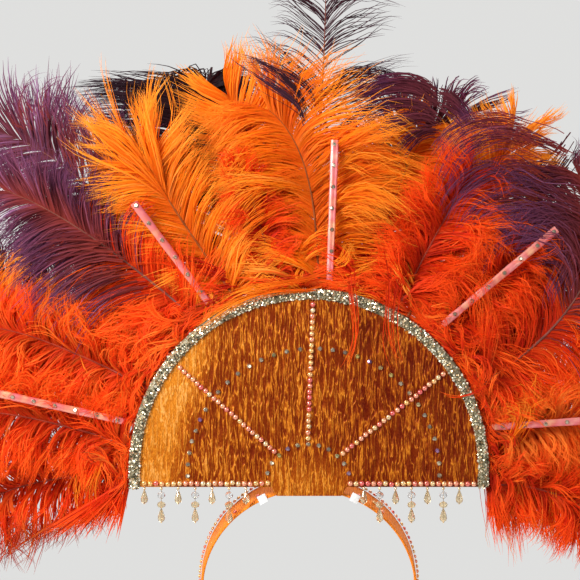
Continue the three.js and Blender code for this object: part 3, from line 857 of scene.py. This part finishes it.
def drops(mats):
    """Crystal drops: seed, clear and champagne rondelles, teardrop and a small gold knob."""
    clear, champagne, gold = range(3)
    for number in range(1, 15):
        low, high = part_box(f"drop_{number:02d}")
        top = ((low.x + high.x) / 2 / MM, (low.y + high.y) / 2 / MM, high.z / MM)
        long_drop = top[2] - low.z / MM > LONG_DROP
        wire_end, tear_top, knob = (-35.9, -21.9, -35.6) if long_drop else (-17.0, -3.4, -16.9)
        rng = np.random.default_rng(SEEDS["drops"] + number)
        # Three draws are passed over, so that each drop keeps its spin
        rng.normal(size=3)
        spin = rng.uniform(0, 1)
        cos, sin = math.cos(spin), math.sin(spin)
        turn = np.array([[cos, -sin, 0], [sin, cos, 0], [0, 0, 1.0]])
        bodies = [([(0.3, -0.1), (0.3, wire_end)], 6, gold, 0.3),
                  ([(0.5, -0.2), (1.45, -1.1), (1.45, -2.3), (0.5, -3.2)], 10, gold, 0.6)]
        if long_drop:
            bodies += [(bicone(-8.3, 3.7, 4.0), 10, clear, 0.5),
                       (bicone(-17.9, 3.4, 4.25), 10, champagne, 0.5)]
        bodies += [([(r, z + tear_top) for r, z in TEARDROP], 10, champagne, 0.5),
                   ([(0.4, knob + 0.6), (0.85, knob + 0.2), (0.85, knob - 0.3),
                     (0.3, knob - 0.75)], 8, gold, 0.8)]
        parts = []
        for profile, sides, material, tint in bodies:
            parts += lathe_parts(profile, sides, top, turn, material=material, tint=tint,
                                 shaded_smooth=material == gold)
        make_piece(f"crystal_drop_{number:02d}", parts,
                   [mats["clear"], mats["champagne"], mats["gold"]],
                   [f"drop_{number:02d}"])


# Staves, band and tabs


def staves(mats):
    """Staves of wrapped film, a little uneven, with a row of stones on the side in view."""
    for name, (rim, tip) in STAVES.items():
        rng = np.random.default_rng(len(name))
        rim, tip = np.array(rim, float), np.array(tip, float)
        along = (tip - rim) / np.linalg.norm(tip - rim)
        root = rim + along * (PLUME_ROOT - math.hypot(rim[0], rim[1] - PANEL_CENTRE_Z))
        across = np.array([-along[1], along[0]])
        length = np.linalg.norm(tip - root)
        rings = []
        for share in np.linspace(0, 1, STAVE_RINGS):
            half = (STAVE_RIM_WIDTH + (STAVE_TIP_WIDTH - STAVE_RIM_WIDTH) * share) / 2
            half += 0.12 * math.sin(share * 31) - 0.1
            centre = root + along * length * share
            ring = []
            for side, rise in STAVE_SECTION:
                flat = centre + across * half * side
                ring.append((flat[0], SLOT_Y + STAVE_HALF_THICK * rise, flat[1]))
            rings.append(ring)
        # The tint paints a highlight along one edge of each stave
        parts = tube_parts(rings, turned=True, tint=np.tile(STAVE_HIGHLIGHT, STAVE_RINGS))
        for s in np.arange(length - STAVE_STONES_FROM_TIP, STAVE_STONES_END, -STAVE_STONE_PITCH):
            flat = root + along * s + across * rng.normal(0, 0.4)
            parts += gem(flat[0], SLOT_Y - STAVE_HALF_THICK + 0.2, flat[1], 2.4, 1.9, rng, 0.25,
                         material=1, tints=(0.2, 0.7))
        make_piece(f"stave_film_{name}", parts, [mats["film"], mats["rhinestone"]],
                   [f"stave_{name}"])


# Band: rings along it and corners of each, then its sizes as in the part
BAND_STATIONS = 97
BAND_SIDES = 24
BAND_WALL = 3.0
BAND_HALF_WIDTH = round(band_high.x / MM) - BAND_WALL
BAND_HEIGHT = 100.0
BAND_DEPTH = round((band_high.y - band_low.y) / MM)
BAND_END_DEPTH = 20.0
BAND_RISE = 10.0
# Pitch of the stones along the band's front edge
BAND_BEAD_PITCH = 4.6
# Single stones on the band's face: angle along the arch and distance from the rear edge
BAND_FACE_STONES = ((2.05, 8), (2.18, 13), (2.3, 7), (2.4, 12), (1.1, 9), (0.95, 13), (0.84, 8))
# Tabs: half side, bow, turn in degrees and points along a side
TAB_HALF = 4.4
TAB_BOW = 0.35
TAB_TURN = 27.0
TAB_GRID = 13


def arch_point(angle, offset, y):
    return (math.cos(angle) * (BAND_HALF_WIDTH + offset), y,
            -BAND_HEIGHT + math.sin(angle) * (BAND_HEIGHT + offset))


def band_depth(angle):
    """Depth of the band in Y, which narrows to its ends."""
    return BAND_END_DEPTH + (BAND_DEPTH - BAND_END_DEPTH) * smooth(math.sin(angle) * 1.6)


def band_stone(angle, offset, depth, rng):
    """Small domed stone at a depth on the band's outer face."""
    out = np.array([math.cos(angle), 0, math.sin(angle)])
    side = np.array([0, 1.0, 0])
    turn = np.stack([np.cross(side, out), side, out], -1)
    return lathe_parts([(1.8, 0.0), (2.2, 0.7), (1.9, 1.5), (1.1, 2.2), (0.2, 2.5)], 10,
                       arch_point(angle, BAND_WALL + offset, depth - BAND_DEPTH / 2), turn,
                       tint=rng.uniform())


def head_band(mats):
    """Padded satin band: a rounded section that follows the arch, with small puckers."""
    rng = np.random.default_rng(SEEDS["head_band"])
    pucker = rng.normal(0, 0.12, (BAND_STATIONS, BAND_SIDES))
    pucker = (pucker + np.roll(pucker, 1, 0) + np.roll(pucker, 1, 1)) / 2
    rings = []
    for k in range(BAND_STATIONS):
        angle = math.pi * k / (BAND_STATIONS - 1)
        depth = band_depth(angle)
        rise = BAND_RISE * math.sin(angle)
        ring = []
        for j in range(BAND_SIDES):
            turn = 2 * math.pi * j / BAND_SIDES
            c, s = math.cos(turn), math.sin(turn)
            across = 0.5 + 0.5 * math.copysign(abs(c) ** 0.35, c)
            lift = 0.5 + 0.5 * math.copysign(abs(s) ** 0.6, s)
            offset = 0.1 + lift * (BAND_WALL - 0.2) + rise * across + pucker[k, j] * lift
            ring.append(arch_point(angle, offset, -BAND_DEPTH / 2 + 0.1 + across * (depth - 0.2)))
        rings.append(ring)
    make_piece("head_band_satin", tube_parts(rings), [mats["band"]], ["head_band"])
    beads = []
    length = math.pi * (BAND_HALF_WIDTH + BAND_HEIGHT) / 2
    for angle in np.linspace(0.02, math.pi - 0.02, round(length / BAND_BEAD_PITCH)):
        beads += band_stone(angle, GAP + BAND_RISE * math.sin(angle), band_depth(angle) - 2.2, rng)
    for angle, depth in BAND_FACE_STONES:
        rise = BAND_RISE * math.sin(angle) * depth / BAND_DEPTH
        beads += band_stone(angle, rise, depth, rng)
    make_piece("band_stones", beads, [mats["pearl"]], ["band_beads"])


def hair_tabs(mats):
    """Small folded tapes, slightly bowed."""
    faces, border = grid_faces(TAB_GRID, TAB_GRID)
    k = np.roll(border, -1)
    back = TAB_GRID * TAB_GRID
    sides = np.stack([border, k, k + back, border + back], -1)
    for side, turn in (("left", -TAB_TURN), ("right", TAB_TURN)):
        low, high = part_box(f"hair_tab_{side}")
        cx, cz = (low.x + high.x) / 2 / MM, (low.z + high.z) / 2 / MM
        u = np.linspace(-1, 1, TAB_GRID)
        grid = np.array([(a * TAB_HALF, y - TAB_BOW * (1 - a * a) + 0.3, b * TAB_HALF)
                         for y in (low.y / MM, high.y / MM - 0.3) for a in u for b in u])
        c, s = math.cos(turn * DEG), math.sin(turn * DEG)
        x = grid[:, 0] * c + grid[:, 2] * s
        z = -grid[:, 0] * s + grid[:, 2] * c
        points = np.stack([x + cx, grid[:, 1], z + cz], -1)
        parts = [part(points, f) for f in (faces, faces[:, ::-1] + back, sides[:, ::-1])]
        make_piece(f"tape_tab_{side}", parts, [mats["tape"]], [f"hair_tab_{side}"])


def in_plane(x, z):
    """Directions that lie in the plane of the panel."""
    return np.stack([x, np.zeros(len(x)), z], -1)


# Plumes


def spine(layer, row):
    """Shaft of a plume as in the part: points, headings and share of the reach every 0.5 mm."""
    angle, tilt, reach, bend, curl = row[:5]
    depth, lean = LAYERS[layer]
    step = 0.5
    quill = PLUME_LEAVE - PLUME_ROOT
    s = np.arange(0, quill + reach + step, step)
    free = np.maximum(0, (s - quill) / reach)
    heading = (angle + tilt + bend * free ** 1.5 + curl * free ** 4) * DEG
    x = PLUME_ROOT * math.cos(angle * DEG) + np.concatenate(
        [[0], np.cumsum(np.cos(heading[:-1])) * step])
    z = PANEL_CENTRE_Z + PLUME_ROOT * math.sin(angle * DEG) + np.concatenate(
        [[0], np.cumsum(np.sin(heading[:-1])) * step])
    out = free * reach
    y = SLOT_Y + (depth - SLOT_Y) * smooth(out / PLUME_SETTLE) + lean * free * free
    return np.stack([x, y, z], -1), heading, free, out


def shaft_part(points, heading, free, material):
    """Tapered shaft of six sides."""
    pick = np.unique(np.linspace(0, len(points) - 1, 46).astype(int))
    turn = 2 * math.pi * np.arange(6) / 6
    radius = SHAFT_RADIUS * (1 - 0.8 * free[pick]) * SHAFT_SLIM
    side = in_plane(-np.sin(heading[pick]), np.cos(heading[pick]))
    rings = (points[pick][:, None, :]
             + radius[:, None, None] * np.cos(turn)[None, :, None] * side[:, None, :])
    rings[:, :, 1] += radius[:, None] * np.sin(turn)[None, :]
    return tube_parts(rings, material=material)


def bend_strands(root, heading, side, length, opening, closing, lift, hang, wave, phase):
    """Curves that leave the shaft at an opening angle, turn to a closing one and wave a little."""
    points = np.empty((len(root), STRAND_STATIONS, 3))
    points[:, 0] = root
    along = in_plane(np.cos(heading), np.sin(heading))
    across = in_plane(-np.sin(heading), np.cos(heading)) * side[:, None]
    for k in range(1, STRAND_STATIONS):
        t = (k - 0.5) / (STRAND_STATIONS - 1)
        angle = opening + (closing - opening) * t ** 0.9
        angle = angle + wave * np.sin(phase + 5.5 * t) * t
        tilt = lift * (1 - 0.5 * t) + 0.5 * wave * np.cos(1.7 * phase + 4.2 * t) * t
        way = np.cos(angle)[:, None] * along + np.sin(angle)[:, None] * across
        way = way * np.cos(tilt)[:, None]
        way[:, 1] += np.sin(tilt)
        way[:, 2] -= hang * t ** 1.6
        way /= np.linalg.norm(way, axis=1)[:, None]
        points[:, k] = points[:, k - 1] + way * (length / (STRAND_STATIONS - 1))[:, None]
    return points


def ribbons(curves, width, facing, tint, material=0):
    """Flat tapered strips along the curves, each turned its own way."""
    count, stations, _ = curves.shape
    way = np.gradient(curves, axis=1)
    way /= np.linalg.norm(way, axis=2)[:, :, None] + 1e-9
    flat = np.cross(way, facing[:, None, :])
    flat /= np.linalg.norm(flat, axis=2)[:, :, None] + 1e-9
    t = np.linspace(0, 1, stations)
    taper = 1 - 0.75 * t ** 2.5
    taper[-1] = 0.1
    half = width[:, None, None] * taper[None, :, None] / 2
    pair = np.stack([curves - flat * half, curves + flat * half], 2).reshape(-1, 3)
    base = (np.arange(count)[:, None] * stations + np.arange(stations - 1)[None, :]) * 2
    faces = np.stack([base, base + 1, base + 3, base + 2], -1).reshape(-1, 4)
    tints = np.repeat(tint, stations * 2)
    along = np.tile(np.repeat(t, 2), count)
    return part(pair, faces, material=material, tint=tints, along=along)


def squeeze(value, limit, room):
    """Values past the limit are drawn in to stay within the room after it."""
    over = np.maximum(value - limit, 0)
    return np.where(over > 0, limit + room * np.tanh(over / room), value)


def fold(value, limit, room):
    """Values past the limit rise a little more and then hang down again."""
    over = np.clip(value - limit, 0, 2.5 * room)
    return np.minimum(value, limit) + over - over * over / (2 * room)


def soft_limits(points, ceiling, slant):
    """Keeps the loose barbs inside the part's box, and behind the braid near the rim."""
    x, y, z = points[..., 0], points[..., 1], points[..., 2]
    radius = np.hypot(x, z - PANEL_CENTRE_Z)
    front = BARB_FRONT + 12 * (1 - smooth((radius - BRAID_COVER) / 6))
    y = squeeze(y, BARB_BACK, 14.0)
    y = -squeeze(-y, -front - 4.0, 4.0)
    x = squeeze(x, cad_high[0] / MM - 8, 34.0)
    x = -squeeze(-x, -cad_low[0] / MM - 8, 34.0)
    z = squeeze(z, cad_high[2] / MM - 12, 36.0)
    z = fold(z, ceiling, 34.0)
    drop = np.maximum(HEM_Z + 8 - z, 0)
    edge = HEM_CLEAR + slant * np.where(x < 0, *HEM_SLANTS) * drop
    side = -squeeze(-np.abs(x), -edge, 8.0)
    x = np.where(drop > 0, np.sign(x) * side, x)
    return np.stack([x, y, z], -1)


def drift(rng, place, side, cell):
    """Smooth values from -1 to 1 along each side of a shaft."""
    knots = rng.uniform(-1, 1, (2, int(place.max() / cell) + 2))
    row, k = (side > 0).astype(int), (place / cell).astype(int)
    t = smooth(place / cell - k)
    return 1.4 * (knots[row, k] * (1 - t) + knots[row, k + 1] * t)


def gather(layer, row, rng, strands, look, zone, shape, longer=(1.0, 1.0), ceiling=NO_LIMIT,
           apart=1.0):
    """Clumps of strands along part of a shaft: curves, widths, facings, tints and where on it."""
    reach_out, opening, closing, spread, lift, wave, clump, comb = LOOKS[look]
    points, heading, free, out = spine(layer, row)
    clumps = strands // STRANDS_A_CLUMP
    first = np.searchsorted(out, zone[0])
    last = min(np.searchsorted(out, zone[1]), len(points) - 1)
    place = first + (last - first) * np.sort(rng.uniform(0, 1, clumps)) ** 0.95
    side = np.where(np.arange(clumps) % 2 == 0, 1.0, -1.0)
    u = free[place.astype(int)]
    full, wider = shape(u)
    length = row[5] * reach_out * full * np.where(side > 0, *longer)
    length = length * (1 + 0.14 * drift(rng, place, side, 14)) * rng.uniform(0.8, 1.1, clumps)
    tip = smooth((u - 0.72) / 0.28)

    def vary(cell):
        return comb * drift(rng, place, side, cell) + (1 - comb) * rng.normal(0, 1, clumps)

    opening = (opening + wider + spread * 0.6 * vary(60)) * (1 - 0.55 * tip)
    closing = (closing + wider + spread * vary(45)) * (1 - 0.5 * tip)
    lift = lift * vary(30)
    wave = wave * 9 * (1 + 0.6 * vary(24))
    phase = math.pi * vary(50)
    hangs = row[9] * (1 + 0.6 * vary(40))

    def curves(index, slide, loose):
        n = len(index)
        at = np.clip(place[index] + rng.normal(0, slide * 2.5, n), first, last)
        at = at.astype(int)
        return bend_strands(
            points[at], heading[at], side[index],
            length[index] * (1 + rng.uniform(-0.30, 0.08, n) * loose),
            (opening[index] + rng.normal(0, 3, n) * loose) * DEG,
            (closing[index] + rng.normal(0, 8, n) * loose) * DEG,
            (lift[index] + rng.normal(0, 6, n) * loose) * DEG,
            hangs[index] * (1 + rng.normal(0, 0.25, n) * loose),
            wave[index] * (1 + rng.normal(0, 0.3, n) * loose) * DEG,
            phase[index] + rng.normal(0, 0.35, n) * loose)

    axis = curves(np.arange(clumps), 0.0, 0.0)
    index = np.repeat(np.arange(clumps), STRANDS_A_CLUMP)
    strand = curves(index, apart, 1.0)
    t = np.linspace(0, 1, STRAND_STATIONS)[None, :, None]
    strand += (axis[index] - strand) * clump * np.sin(0.5 * math.pi * t) ** 1.4
    strand = soft_limits(strand, ceiling + rng.normal(0, 7, (len(strand), 1)),
                         rng.uniform(0.1, 1, (len(strand), 1)))
    facing = rng.normal(0, 0.45, (clumps, 3))[index] + rng.normal(0, 0.2, (len(index), 3))
    facing[:, 1] = 1.0
    width = STRAND_WIDTH[layer] * rng.uniform(0.6, 1.15, len(index))
    # Painted shade: barbs that lift toward -Y, the side in view, are painted lighter and those that
    # lift toward +Y darker
    front = -np.clip(lift / 20, -1, 1)
    tint = row[7] + 0.10 * front[index] + (0.10 * vary(20))[index]
    tint = np.clip(tint + rng.normal(0, 0.13, len(index)), 0, 1)
    return strand, width, facing, tint, out[place.astype(int)][index]


def vane_shape(u):
    return 0.70 + 0.30 * np.sin(math.pi * np.clip(u * 0.9 + 0.05, 0, 1)), 0.0


def down_shape(u):
    """Down at the foot of the plume: shorter, and spread square to the shaft."""
    return 0.72 + 0.1 * np.cos(9 * u), 36.0


def plume(layer, number, row, mats):
    """One plume: its shaft, the down at its foot and clumps of fine barbs along both sides."""
    key = (layer, number)
    dye, look = row[6], row[8]
    rng = np.random.default_rng(SEEDS["plumes"] + 37 * number + 7 * len(layer))
    share, finer, apart = FINER.get(key, (1.0, 1.0, 1.0))
    low, high, fan_strands = FANS.get(key, (0.0, NO_LIMIT, 0))
    strands = int(share * (STRANDS[layer] - DOWN_STRANDS - fan_strands))
    strand, width, facing, tint, out = gather(
        layer, row, rng, strands, look, (4.0, high), vane_shape, LONGER.get(key, (1.0, 1.0)),
        CEILINGS.get(key, NO_LIMIT), apart)
    down = gather(layer, row, rng, DOWN_STRANDS, "fluffy", (-12.0, 44.0), down_shape)[:4]
    limit = RED_TO.get(key, PURPLE_RED_TO if dye == "purple" else 0.0)
    turned = out + rng.normal(0, 16, len(out)) < limit
    # The barbs have the first material, the shaft the second, down and barbs dyed red the third
    parts = [ribbons(strand[pick], width[pick] * finer, facing[pick], tint[pick], material)
             for material, pick in ((0, ~turned), (2, turned)) if pick.any()]
    parts.append(ribbons(*down, 2))
    if fan_strands:
        fan = gather(layer, row, rng, fan_strands, "fan", (low, high), vane_shape)[:4]
        parts.append(ribbons(*fan))
    points, heading, free, _ = spine(layer, row)
    parts += shaft_part(points, heading, free, 1)
    for route, count, near, far, y in LOCKS.get(key, ()):
        parts.append(lock(rng, route, count, near, far, y, STRAND_WIDTH[layer] * finer, row[7]))
    down_dye = dye if dye == "orange" and layer == "inner" else "red"
    make_piece(f"{layer}_plume_barbs_{number}", parts,
               [mats[SHADES.get(key, dye)], mats[dye + "_shaft"], mats[down_dye]],
               [f"plume_{layer}_{number}"])


def lock(rng, route, count, near, far, y, width, tint):
    """Loose strands along a route of x and z points, spread by both distances."""
    route = np.array(route, float)
    knots = np.linspace(0, 1, len(route))
    curve = [np.polyfit(knots, route[:, k], min(len(route) - 1, 4)) for k in (0, 1)]
    t = np.linspace(0, 1, STRAND_STATIONS)
    start, end = rng.uniform(0, 0.2, (count, 1)), rng.uniform(0.8, 1.04, (count, 1))
    share = start + (end - start) * t
    fan = rng.normal(0, 1, (count, 3))
    loose = near + (far - near) * t[None, :] ** 1.5
    strands = np.empty((count, STRAND_STATIONS, 3))
    for axis, k in ((0, 0), (2, 1)):
        strands[:, :, axis] = np.polyval(curve[k], share) + fan[:, k:k + 1] * loose
        strands[:, :, axis] += 0.22 * loose * np.sin((5 + k) * t[None, :] + 3 * fan[:, 2:])
    strands[:, :, 1] = y + rng.normal(0, 1.6, (count, 1)) + 3.0 * (1 - t[None, :]) ** 3
    facing = rng.normal(0, 0.4, (count, 3))
    facing[:, 1] = 1.0
    tints = np.clip(tint + rng.normal(0, 0.15, count), 0, 1)
    return ribbons(strands, width * rng.uniform(0.5, 0.9, count), facing, tints)


def plumes(mats):
    for layer, rows in PLUMES.items():
        for number, row in enumerate(rows, 1):
            plume(layer, number, row, mats)


def materials():
    """All materials; the ramps are stops of place and colour, the barbs a ramp, the dyes at root
    and tip and the share of light let through."""
    red = [(0.0, (0.36, 0.008, 0.001)), (0.35, (0.78, 0.030, 0.002)), (0.6, (1.0, 0.085, 0.004)),
           (1.0, (1.0, 0.27, 0.03))]
    orange = [(0.0, (0.58, 0.06, 0.002)), (0.35, (0.92, 0.16, 0.003)), (0.65, (1.0, 0.29, 0.005)),
              (1.0, (1.0, 0.44, 0.07))]
    purple = [(0.0, (0.020, 0.004, 0.009)), (0.4, (0.095, 0.014, 0.028)),
              (0.7, (0.19, 0.036, 0.060)), (1.0, (0.36, 0.15, 0.32))]
    black = [(0.0, (0.010, 0.003, 0.005)), (0.5, (0.035, 0.007, 0.012)), (1.0, (0.09, 0.025, 0.05))]
    # Satin ramp: from painted shade in the valleys and on the right to painted highlight on the
    # crests and painted sheen on the left
    satin = [(0.0, (0.10, 0.005, 0.0)), (0.25, (0.19, 0.022, 0.001)), (0.5, (0.36, 0.070, 0.003)),
             (0.75, (0.68, 0.22, 0.014)), (1.0, (0.86, 0.38, 0.09))]
    band = [(0.2, (0.75, 0.16, 0.01)), (0.5, (0.90, 0.24, 0.015)), (0.8, (1.0, 0.36, 0.05))]
    pearl = [(0.0, (0.78, 0.13, 0.12)), (0.25, (0.86, 0.28, 0.17)), (0.5, (0.92, 0.44, 0.25)),
             (0.75, (0.86, 0.48, 0.14)), (1.0, (0.80, 0.62, 0.36))]
    stones = [(0.0, (0.30, 0.13, 0.30)), (0.08, (0.34, 0.29, 0.21)), (0.75, (0.56, 0.48, 0.34)),
              (0.88, (0.60, 0.44, 0.10)), (1.0, (0.36, 0.36, 0.20))]
    silver = [(0.0, (0.07, 0.06, 0.03)), (0.3, (0.45, 0.39, 0.24)), (0.6, (0.92, 0.85, 0.62)),
              (1.0, (1.0, 0.98, 0.82))]
    gold = [(0.0, (0.45, 0.28, 0.12)), (0.6, (0.85, 0.65, 0.40)), (1.0, (0.95, 0.80, 0.55))]
    barbs = {
        "red": (red, (0.50, 0.014, 0.001), (1.0, 0.12, 0.008), 0.3),
        "orange": (orange, (0.70, 0.09, 0.002), (1.0, 0.36, 0.03), 0.3),
        "purple": (purple, (0.115, 0.020, 0.026), (0.13, 0.040, 0.12), 0.2),
        "purple_red": (purple, (0.25, 0.028, 0.016), (0.15, 0.050, 0.14), 0.2),
        "purple_black": (black, (0.030, 0.006, 0.009), (0.030, 0.010, 0.022), 0.15),
        "purple_grey": (black, (0.055, 0.018, 0.028), (0.075, 0.032, 0.060), 0.15),
        "red_dark_tips": (red, (0.50, 0.014, 0.001), (0.07, 0.004, 0.010), 0.3),
    }
    shafts = {"red": (0.38, 0.04, 0.015), "orange": (0.35, 0.08, 0.012),
              "purple": (0.24, 0.07, 0.05)}
    return {
        **{name: feather_material("barbs_" + name, *looks) for name, looks in barbs.items()},
        **{name + "_shaft": shaft_material("shaft_" + name, shafts[name]) for name in shafts},
        "satin": satin_material("crinkled_satin", satin, 0.55),
        "band": satin_material("band_satin", band, 0.3),
        "pearl": gem_material("round_stones", pearl, 0.15, 0.55),
        "rhinestone": gem_material("rhinestones", stones, 0.08, 0.75),
        "silver": gem_material("braid_stones", silver, 0.22, 0.8),
        "champagne_gem": gem_material("champagne_stones", gold, 0.12, 0.8),
        "gold": gem_material("gold_seeds", gold, 0.2, 0.9),
        "braid": plain_material("braid_base", (0.22, 0.18, 0.10), 0.5, 400.0, 0.3),
        "clear": glass_material("clear_crystal", (1.0, 1.0, 1.0)),
        "champagne": glass_material("champagne_crystal", (0.98, 0.80, 0.52)),
        "film": stave_material(),
        "tape": plain_material("white_tape", (0.85, 0.85, 0.85), 0.8, 900.0),
        "floor": plain_material("pale_floor", (0.74, 0.74, 0.73), 0.9, 60.0),
    }


# Stage, camera and light

FLOOR_RADIUS = 1.5
FLOOR_Z = -0.55
# Area lights: place, target, size, power and colour, in metres and watts
LIGHTS = {
    "key": ((-0.9, -0.85, 0.75), (-0.05, 0, 0.2), 0.55, 26, (1, 0.98, 0.95)),
    "fill": ((1.1, -1.2, 0.3), (0.1, 0, 0.2), 0.8, 7, (1, 1, 1)),
    "top": ((0.1, 0.6, 1.4), (0, 0, 0.2), 0.9, 12, (1, 1, 1)),
}


def area_light(name, place, target, size, power, colour):
    lamp = bpy.data.lights.new(name, "AREA")
    lamp.size = size
    lamp.energy = power
    lamp.color = colour
    obj = bpy.data.objects.new(name, lamp)
    bpy.context.scene.collection.objects.link(obj)
    aim = Vector(target) - Vector(place)
    obj.rotation_mode = "QUATERNION"
    obj.rotation_quaternion = aim.to_track_quat("-Z", "Y")
    obj.location = place


def camera():
    lens = bpy.data.cameras.new("camera")
    lens.sensor_width = SENSOR
    lens.lens = SENSOR * CAMERA_DISTANCE / FRAME_SIDE
    obj = bpy.data.objects.new("camera", lens)
    obj.location = (FRAME_CENTRE[0] * MM, (BACK_FACE - CAMERA_DISTANCE) * MM,
                    FRAME_CENTRE[1] * MM)
    obj.rotation_euler = (math.pi / 2, 0, 0)
    bpy.context.scene.collection.objects.link(obj)
    bpy.context.scene.camera = obj


def stage(mats):
    bpy.ops.mesh.primitive_circle_add(vertices=96, radius=FLOOR_RADIUS, fill_type="NGON",
                                      location=(0, 0, FLOOR_Z))
    floor = bpy.context.object
    floor.name = "floor"
    floor.data.materials.append(mats["floor"])
    world = bpy.data.worlds.new("room")
    world.use_nodes = True
    tree = world.node_tree
    place = tree.nodes.new("ShaderNodeTexCoord")
    parts = tree.nodes.new("ShaderNodeSeparateXYZ")
    tree.links.new(place.outputs["Generated"], parts.inputs["Vector"])
    toward = maths(tree, "MULTIPLY_ADD", parts.outputs["X"], -0.25)
    tree.links.new(parts.outputs["Y"], toward.node.inputs[2])
    share = maths(tree, "MULTIPLY_ADD", toward, 0.5)
    share.node.inputs[2].default_value = 0.5
    shade = ramp(tree, share, [(0.08, (0.20, 0.20, 0.21)), (0.42, (0.45, 0.45, 0.45)),
                               (0.62, (0.74, 0.74, 0.73))])
    tree.links.new(shade, tree.nodes["Background"].inputs["Color"])
    bpy.context.scene.world = world
    for name, values in LIGHTS.items():
        area_light(name, *values)
    bpy.context.scene.view_settings.view_transform = "Standard"


def build():
    mats = materials()
    camera()
    stage(mats)
    panel_pieces(mats)
    bead_rows(mats)
    braid(mats)
    drops(mats)
    staves(mats)
    head_band(mats)
    hair_tabs(mats)
    plumes(mats)


build()
